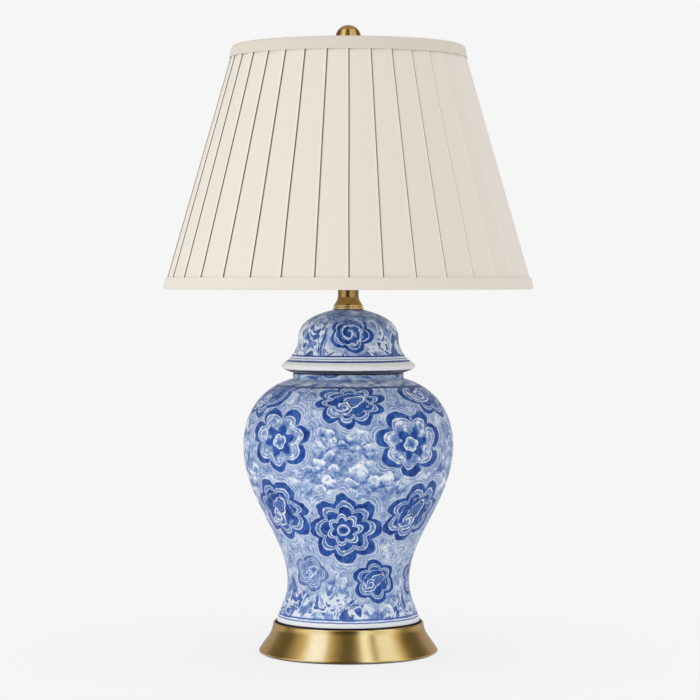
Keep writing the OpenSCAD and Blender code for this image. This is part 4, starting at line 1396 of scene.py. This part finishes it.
@dataclass
class Finial:
    """The finial: a ball on a waisted foot, bored for the harp's stud."""

    base_z: float = 660.5
    height: float = 38.0
    ball_r: float = 14.3
    foot_r: float = 9.5
    foot_bevel: float = 1.0
    bead_r: float = 1.2
    bead_z: float = 1.4
    cove_in: float = 1.6  # how far the cove's foot stands in from the bead
    cove_z: float = 2.8
    waist_wall: float = 2.35
    waist_z: float = 9.4
    stud_r: float = 3.225
    bore: float = 14.5

    def build(self, bench: Workbench) -> None:
        """Makes the finial.

        Args:
            bench: The workbench that fits it.
        """
        z, waist, foot_r = self.base_z, self.stud_r + self.waist_wall, self.foot_r
        ball_z = z + self.height - self.ball_r
        meets = math.degrees(math.asin(waist / self.ball_r))
        path = chain([[0, z + self.bore], [self.stud_r, z + self.bore], [self.stud_r, z]],
                     [[foot_r - self.foot_bevel, z]],
                     arc([foot_r - self.bead_r, z + self.bead_z], self.bead_r, -60, 60),
                     curve([foot_r - self.cove_in, z + self.cove_z], [waist, z + self.waist_z], [0.6, 0.05],
                           [1, 0.3], 20),
                     arc([0, ball_z], self.ball_r, meets - 90, 90, 60))
        path[-1, 0] = 0.0
        bench.fit(turned(path, 160, loop=False), "ball_finial", "finial", sharp=35)


# The shade


@dataclass
class Cone:
    """The shade's cone, by the radius over its folds at each height, in millimetres."""

    rim_z: float = 675.6
    height: float = 270.2
    top_r: float = 127.4
    bottom_r: float = 205.6

    @property
    def hem_z(self) -> float:
        """Height of the bottom rim."""
        return self.rim_z - self.height

    @property
    def slant(self) -> float:
        """Length of the cone's side."""
        return math.hypot(self.height, self.bottom_r - self.top_r)

    def radius(self, height: float | np.ndarray) -> float | np.ndarray:
        """Radius over the folds at a height: it grows evenly from the top rim to the bottom."""
        return self.top_r + (self.bottom_r - self.top_r) * (self.rim_z - height) / self.height


@dataclass
class KnifePleats:
    """A rectangle of cloth laid in knife pleats round the cone, each lapped over the one on its right."""

    cone: Cone
    pleats: int = 35
    width: float = 48.0  # cloth taken up by one pleat, with both layers under its fold
    cloth: float = 0.44
    over: float = -0.24  # depth of the three layers' middles under the folds' radius
    between: float = -0.86
    under: float = -1.62
    hem_margin: float = 2.45
    rim_margin: float = 5.2
    stray: float = 0.35  # how far a fold stands off its place round the cone
    sway: float = 0.12  # how far it bends on its way up
    bow: float = 0.12  # how far the face of a pleat swells outwards
    rows: int = 16
    seed: int = 7

    def plan(self) -> np.ndarray:
        """One pleat's path in plan, from under the fold on its left to under its own.

        Returns:
            Rows of (share of the pitch, share of the underlap, millimetres more, depth, painted crease shade,
            painted lip highlight).
        """
        lip_r, back_r = (self.over - self.between) / 2, (self.between - self.under) / 2
        lip = np.radians(np.linspace(75, -75, 5))
        back = np.radians(np.linspace(105, 255, 5))
        # The fifth column lays painted shade in the crease, and the sixth a painted highlight on the lip.
        start = [[0, -1, back_r, self.under, 1, 0], [0, -0.4, 0, self.under, 1, 0],
                 [0, 0, 0, self.under, 1, 0], [0, 0, 0.9, self.under + 0.05, 1, 0],
                 [0, 0, 1.5, self.under + 0.1, 0.5, 0.1], [0, 0, 2.2, self.under + 0.15, 0, 0.35],
                 [0, 0, 3.4, self.under + 0.2, 0, 0]]
        share = np.linspace(0.16, 0.9, 7)
        climb = self.under + 0.2 + (self.over - self.under - 0.2) * share
        face = np.stack([share, 0 * share, 0 * share, climb, 0 * share, 0 * share], -1)
        rim = [[1, 0, -2.4, self.over, 0, 0], [1, 0, -1.2, self.over, 0, 0.5],
               [1, 0, -lip_r, self.over, 0, 0.8]]
        fold = np.stack([1 + 0 * lip, 0 * lip, lip_r * (np.cos(lip) - 1),
                         (self.over + self.between) / 2 + lip_r * np.sin(lip), 0 * lip, 1 + 0 * lip], -1)
        layer = [[1, 0, -lip_r, self.between, 0.6, 0], [1, -0.5, 0, self.between, 1, 0],
                 [1, -1, back_r, self.between, 1, 0]]
        turn = np.stack([1 + 0 * back, -1 + 0 * back, back_r * (np.cos(back) + 1),
                         (self.between + self.under) / 2 + back_r * np.sin(back), 1 + 0 * back, 0 * back], -1)
        return np.vstack([start, face, rim, fold, layer, turn])

    def middle(self, height: np.ndarray) -> tuple[np.ndarray, np.ndarray, np.ndarray]:
        """The cloth's middle surface in plan at each height.

        Distance round the cone = (pleat + share of pitch) pitch + share of underlap x underlap + more, where
        the underlap is half of what the pitch leaves of the pleat's width. Each fold strays a little.

        Args:
            height: Heights, in millimetres.

        Returns:
            The radius and the distance round the cone over it, in millimetres, both of shape (heights,
            points), and the folds' (painted crease shade, painted lip highlight, tone of the panel) of shape
            (points, 3).
        """
        rng = np.random.default_rng(self.seed)
        plan = np.tile(self.plan(), (self.pleats, 1))
        count = len(plan) // self.pleats
        index = np.repeat(np.arange(self.pleats), count)
        radius = self.cone.radius(height)[:, None]
        pitch = 2 * np.pi * radius / self.pleats
        underlap = (self.width - pitch) / 2
        stray = rng.normal(0, self.stray, self.pleats + 1)
        stray[-1] = stray[0]
        sway = rng.normal(0, self.sway, (self.pleats + 1, 2))
        sway[-1] = sway[0]
        share, lap, more, depth = plan[:, 0], plan[:, 1], plan[:, 2], plan[:, 3]
        fold = index + (share >= 0.999)
        level = np.linspace(0, 2 * np.pi, len(height))[:, None]
        off = stray[fold] + sway[fold, 0] * np.sin(level) + sway[fold, 1] * np.cos(level * 1.5)
        off = off * np.where((share > 0) & (share < 0.999), 0.5, 1.0)
        distance = (index + share) * pitch + lap * underlap + more + off
        tone = rng.uniform(0, 1, self.pleats)[index]
        bow = self.bow * np.sin(np.pi * np.clip(share, 0, 1))
        return radius + depth + bow, distance, np.stack([plan[:, 4], plan[:, 5], tone], -1)

    def skin(self) -> Skin:
        """The cloth as a thin closed solid: its middle surface moved half its thickness either way.

        Returns:
            The surface, with its UV map in metres of cloth.
        """
        height = np.linspace(self.cone.hem_z + self.hem_margin, self.cone.rim_z - self.rim_margin, self.rows)
        radius, distance, folds = self.middle(height)
        base = self.cone.radius(height)[:, None]
        angle = distance / base + math.radians(FRONT)
        plan = np.stack([radius * np.cos(angle), radius * np.sin(angle)], -1)
        round_trip = np.concatenate([plan[:, -1:], plan, plan[:, :1]], 1)
        ahead = round_trip[:, 2:] - round_trip[:, :-2]
        ahead /= np.linalg.norm(ahead, axis=2, keepdims=True)
        outward = np.stack([ahead[..., 1], -ahead[..., 0]], -1) * self.cloth / 2
        level = np.broadcast_to(height[:, None, None], plan.shape[:2] + (1,))
        front, back = np.concatenate([plan + outward, level], -1), np.concatenate([plan - outward, level], -1)
        grid = np.concatenate([front, back[::-1], front[:1]], 0)
        grid = np.concatenate([grid, grid[:, :1]], 1) * MM
        run = np.concatenate([[0], np.cumsum(np.linalg.norm(np.diff(plan[self.rows // 2], axis=0), axis=1))])
        run = np.append(run, run[-1] + self.cloth) * MM
        rise = np.concatenate([height, height[::-1], height[:1]]) * self.cone.slant / self.cone.height * MM
        uv = np.stack(np.broadcast_arrays(run[None], rise[:, None]), -1)
        folds = np.broadcast_to(np.concatenate([folds, folds[:1]])[None], grid.shape)
        return Skin.from_grid(grid, uv=uv, loop=True, fold=folds)

    def flat(self) -> tuple[float, float]:
        """Width and length of the cloth before it was pleated, in metres."""
        length = self.cone.slant * (1 - (self.hem_margin + self.rim_margin) / self.cone.height)
        return self.pleats * self.width * MM, length * MM


@dataclass
class Shade:
    """The shade: pleated cloth over a stiff lining on two wire rings, bound by a band at each rim."""

    cone: Cone = field(default_factory=Cone)
    lining_t: float = 0.6
    lining_depth: float = 2.2
    band_t: float = 0.8
    band_round: float = 2.45
    band_out: float = 0.95
    top_band: float = 14.0
    bottom_band: float = 13.0
    hoop_depth: float = 6.0  # from the folds to the inner face of a band behind its ring
    top_bend: tuple[float, float] = (5.6, 8.0)  # how wide and deep a band rounds its rim
    bottom_bend: tuple[float, float] = (3.0, 2.6)

    def band(self, rim: float, side: int, drop: float) -> tuple[Skin, float]:
        """A band over a rim: down the outside over the pleats, round the rim and behind the ring.

        Args:
            rim: Height of the rim.
            side: 1 for the top rim, -1 for the bottom.
            drop: How far its outer leg reaches from the rim.

        Returns:
            The band's surface, and the length of its cut across, in metres.
        """
        half, bend = self.band_t / 2, self.band_round - self.band_t / 2
        leg, turn = rim - side * drop, rim - side * self.band_round

        def outer(height: float) -> float:
            """Radius of the outer leg's middle at a height."""
            return self.cone.radius(height) + self.band_out - half

        inner = outer(turn) - self.band_out - self.hoop_depth + 2 * half
        wide, deep = self.top_bend if side > 0 else self.bottom_bend
        bow = rim - side * (half + deep)
        path = chain(evened(np.array([[outer(leg), leg], [outer(bow), bow]]), 3),
                     curve([outer(bow), bow], [outer(bow) - wide, rim - side * half], [-0.04, 0.62],
                           [0.36, 1], 10),
                     arc([inner + bend, turn], bend, side * 90, side * 180, 8),
                     [[inner, rim - side * (self.band_round + 3)]])
        if side < 0:
            path = path[::-1]
        out, back = beside(path, -half), beside(path, half)[::-1]
        closed = chain(out, back, out[:1])
        grid = turned_grid(closed, 256)
        run = travel(closed) * MM
        round_rim = np.linspace(0, 2 * math.pi * outer(rim), grid.shape[1]) * MM
        uv = np.stack(np.broadcast_arrays(round_rim[None], run[:, None]), -1)
        # the top band leans toward the crease colour as painted shade; the bottom band does not
        tone = np.broadcast_to([0.12 if side > 0 else 0.0, 0, 0.5], grid.shape)
        return Skin.from_grid(grid, uv=uv, loop=True, fold=tone), travel(path)[-1] * MM

    def build(self, bench: Workbench) -> None:
        """Makes the lining, the pleated cloth and the two bands.

        Args:
            bench: The workbench that fits them.
        """
        low, high = self.cone.hem_z + self.band_t + 1, self.cone.rim_z - self.band_t - 1
        low_r, high_r = (self.cone.radius(height) - self.lining_depth for height in (low, high))
        path = np.array([[low_r, low], [high_r, high], [high_r - self.lining_t, high],
                         [low_r - self.lining_t, low]])
        lining = bench.fit(turned(path, 256), "stiff_lining", "shade_lining")
        self.declare_lining(low_r, high_r, high - low)
        pleats = KnifePleats(self.cone)
        cloth = bench.fit(pleats.skin(), "pleated_cloth", "shade_pleats", sharp=65)
        pleats.flat()
        for name, node, rim, side, drop, ring in (
                ("top_binding", "shade_top_band", self.cone.rim_z, 1, self.top_band, "shade_top_ring"),
                ("bottom_binding", "shade_bottom_band", self.cone.hem_z, -1, self.bottom_band,
                 "shade_bottom_ring")):
            skin, cut = self.band(rim, side, drop)
            piece = bench.fit(skin, name, node, sharp=60)
            around = 2 * math.pi * self.cone.radius(rim) * MM
        bench.dress("shade_spider", "shade_top_ring", "shade_bottom_ring")

    def declare_lining(self, low_r: float, high_r: float, height: float) -> None:
        """Its inner and outer radii are the cone's side, measured from its tip, and its angle is 2 pi times the
        change of radius over the length of the side.

        Args:
            low_r: Its radius at the bottom, in millimetres.
            high_r: Its radius at the top.
            height: Its height.
        """
        side = math.hypot(height, low_r - high_r)
        share = (low_r - high_r) / side
        outer, inner, half = low_r / share * MM, high_r / share * MM, math.pi * share
        area = math.pi * (low_r + high_r) * side * MM**2
        2 * outer * math.sin(half)
        outer - inner * math.cos(half)


@dataclass
class Fittings:
    """What carries the shade and the bulb: harp, socket and switch, the bulb, and the hardware below."""

    bulb_z: float = 465.2
    cap_top: float = 24.75
    glass_r: float = 12.4
    bulb_r: float = 30.0
    bulb_h: float = 108.0
    glass_t: float = 1.0

    def build(self, bench: Workbench) -> None:
        """Makes the bulb's glass and dresses the rest.

        Args:
            bench: The workbench that fits them.
        """
        crown = self.bulb_h - self.bulb_r
        outside = chain(curve([self.glass_r, self.cap_top], [self.bulb_r, crown], [0.05, 0.45], [1, 0.45]),
                        arc([0, crown], self.bulb_r, 0, 90, 30))
        inside = beside(outside, self.glass_t)[:-1][::-1]
        outside[-1, 0] = 0.0
        path = chain(outside, [[0, self.bulb_h - self.glass_t]], inside[1:]) + [0, self.bulb_z]
        bench.fit(turned(path, 128), "bulb_envelope", "bulb_glass")
        bench.dress("bulb_screw_cap", "bulb_insulator", "bulb_contact",
                    "harp_saddle", "harp_bow", "harp_stud", "harp_sleeve_left", "harp_sleeve_right",
                    "socket_cap", "socket_set_screw", "socket_shell", "socket_insulator", "socket_body",
                    "screw_shell", "centre_contact", "terminal_screws", "switch_shaft", "switch_knob",
                    "cord_bushing", "foot_gasket", "base_washer", "base_lock_washer", "base_nut", "lamp_pipe")


# The studio


@dataclass(frozen=True)
class Softbox:
    """An upright flat lamp that faces the lamp's axis. It lights matt surfaces, and shows in no shiny one."""

    turn: float = -52.0  # degrees from the camera's side, toward the viewer's right
    width: float = 1.3
    low: float = -0.6  # height of its lower edge
    high: float = 0.9
    radiance: float = 0.95
    distance: float = 2.0
    watts: float = 4.0  # power for each square metre and unit of radiance

    def hang(self) -> None:
        """Puts the lamp in its place, turned to the middle."""
        light = bpy.data.lights.new("softbox", "AREA")
        light.shape, light.size, light.size_y = "RECTANGLE", self.width, self.high - self.low
        light.energy = self.watts * light.size * light.size_y * self.radiance
        holder = bpy.data.objects.new(light.name, light)
        turn = math.radians(self.turn)
        holder.location = (math.sin(turn) * self.distance, -math.cos(turn) * self.distance,
                           (self.low + self.high) / 2)
        holder.rotation_euler = (math.pi / 2, 0, turn)
        holder.visible_camera = holder.visible_glossy = False
        bpy.context.scene.collection.objects.link(holder)


@dataclass
class Studio:
    """A white room: the camera at the photograph's place, one soft lamp and a pale floor."""

    eye: tuple[float, float, float] = (0.0019, -2.956, 0.4182)
    focal_px: float = 2656.0
    frame_px: float = 700.0
    horizon_px: float = 277.7
    white: Colour = srgb(246, 246, 246)
    fill: Colour = (0.91, 0.91, 0.91)
    floor_half: float = 1.4
    floor_drop: float = 0.0002  # keeps the floor off the felt
    floor_near: float = 0.12  # up to this far from the lamp's axis, the floor is at its least clear
    floor_far: float = 0.5  # from here on it is all clear
    floor_clear: float = 0.82  # how clear it is near the lamp

    def camera(self) -> None:
        """Sets the camera: its tilt puts the horizon where the photograph has it."""
        data = bpy.data.cameras.new("camera")
        data.sensor_width = 36.0
        data.lens = self.focal_px * data.sensor_width / self.frame_px
        camera = bpy.data.objects.new("camera", data)
        tilt = math.atan((self.frame_px / 2 - self.horizon_px) / self.focal_px)
        camera.location = self.eye
        camera.rotation_euler = (math.pi / 2 - tilt, 0, 0)
        bpy.context.scene.collection.objects.link(camera)
        bpy.context.scene.camera = camera

    def world(self) -> None:
        """Fills the room: white to the camera, an even fill to matt surfaces, and bands to shiny ones.

        For a ray of direction (side, depth, up), the bands go by the angle a with tan a = side / (1 - depth).
        They go over from upright to flared ones with the sine up / sqrt(2 (1 - depth)). What lies high or
        low, or behind the lamp, is plain.
        """
        world = bpy.data.worlds.new("room")
        world.use_nodes = True
        bpy.context.scene.world = world
        room = Mixer(world.node_tree)
        side, depth, up = room.parts(room.take("Generated", "TexCoord", {}))
        nearer = 1.0001 - depth  # never 0
        facing = (side / nearer).math("ARCTANGENT") / math.pi + 0.5
        level = up / (nearer * 2.0).math("SQRT")
        dim, half, edge = (0.14, 0.135, 0.12), (0.5, 0.5, 0.5), (0.42, 0.39, 0.38)
        gold, pale, cream = (0.76, 0.77, 0.72), (1.05, 1.32, 2.3), (1.22, 1.66, 3.9)
        black, low, glare = (0.05, 0.05, 0.06), (0.24, 0.22, 0.19), (1.28, 1.62, 3.0)
        umber, brown = (0.2, 0.19, 0.16), (0.28, 0.26, 0.23)
        olive, bronze = (0.36, 0.35, 0.3), (0.4, 0.38, 0.3)
        upright = [(-90, half), (-60, half), (-50, low), (-42, gold), (-33, pale), (-30, pale),
                   (-18, pale), (-15, gold), (-10, black), (6, black), (10, pale), (17, pale), (22, gold),
                   (35, pale), (39, gold), (47, low), (60, half), (90, half)]
        flared = [(-90, edge), (-69, edge), (-62, umber), (-54, dim), (-47, dim), (-43, brown), (-38, half),
                  (-33, gold), (-29, pale), (-26, cream), (-17, cream), (-14, gold), (-9, olive), (-3.5, dim),
                  (2.5, dim), (6.5, bronze), (10.5, glare), (13.5, glare), (18, bronze), (22, pale),
                  (32.5, pale), (37.5, gold), (43, low), (48, dim), (57, dim), (70, edge), (90, edge)]
        rows = [room.ramp(facing, [(0.5 + turn / 180, colour) for turn, colour in bands])
                for bands in (upright, flared)]
        mirror = room.layered(
            room.blend(level.rise(0.03, 0.18), *rows), (level.rise(0.6, 0.74) * depth.fall(0.6, 0.9), half),
            (depth.rise(0.6, 0.97), edge), (up.fall(-0.97, -0.6) * 0.8, dim))
        glossy, straight, through = (room.take(f"Is {kind} Ray", "LightPath", {})
                                     for kind in ("Glossy", "Camera", "Transmission"))
        light = room.blend(glossy, self.fill, mirror)
        seen = straight.math("MAXIMUM", through)
        tint = room.blend(seen, light, self.white)
        room.node("OutputWorld", {"Surface": room.take(0, "Background", {"Color": tint, "Strength": 1.0})})

    def floor(self) -> None:
        """Lays the floor: pale by the lamp, where it takes the shadow, and clear further off."""
        corners = np.array([[-1, -1], [1, -1], [1, 1], [-1, 1]]) * self.floor_half
        level = np.full((len(corners), 1), -self.floor_drop)
        floor = Skin(np.hstack([corners, level]), [[0, 1, 2, 3]]).made("floor")
        paint = Paint("floor")
        x, y, _ = paint.parts(paint.place)
        clear = paint.choose(x.hypot(y).rise(self.floor_near, self.floor_far), self.floor_clear, 1.0)
        grain = paint.noise(30, 2) * 0.01
        pale = paint.blend(grain + 0.01, srgb(244, 244, 244), srgb(235, 235, 235))
        solid, glass = paint.take(0, "BsdfDiffuse", {"Color": pale}), paint.take(0, "BsdfTransparent", {})
        paint.node("OutputMaterial", {"Surface": paint.take(0, "MixShader", {0: clear, 1: solid, 2: glass})})
        floor.data.materials.append(paint.material)
        floor.visible_glossy = False

    def build(self) -> None:
        """Sets up the camera, the soft lamp, the room and the floor."""
        self.camera()
        Softbox().hang()
        self.world()
        self.floor()
        bpy.context.scene.view_settings.view_transform = "Standard"


def main() -> None:
    """Builds the studio, then the lamp from its base to its finial."""
    logging.basicConfig(level=logging.INFO, format="%(name)s: %(message)s")
    Studio().build()
    bench = Workbench()
    for part in (BrassBase(), Jar(), Lid(), BrassNeck(), Fittings(), Shade(), Finial()):
        part.build(bench)
        LOG.info("%s is built", type(part).__name__)


if __name__ == "__main__":
    main()
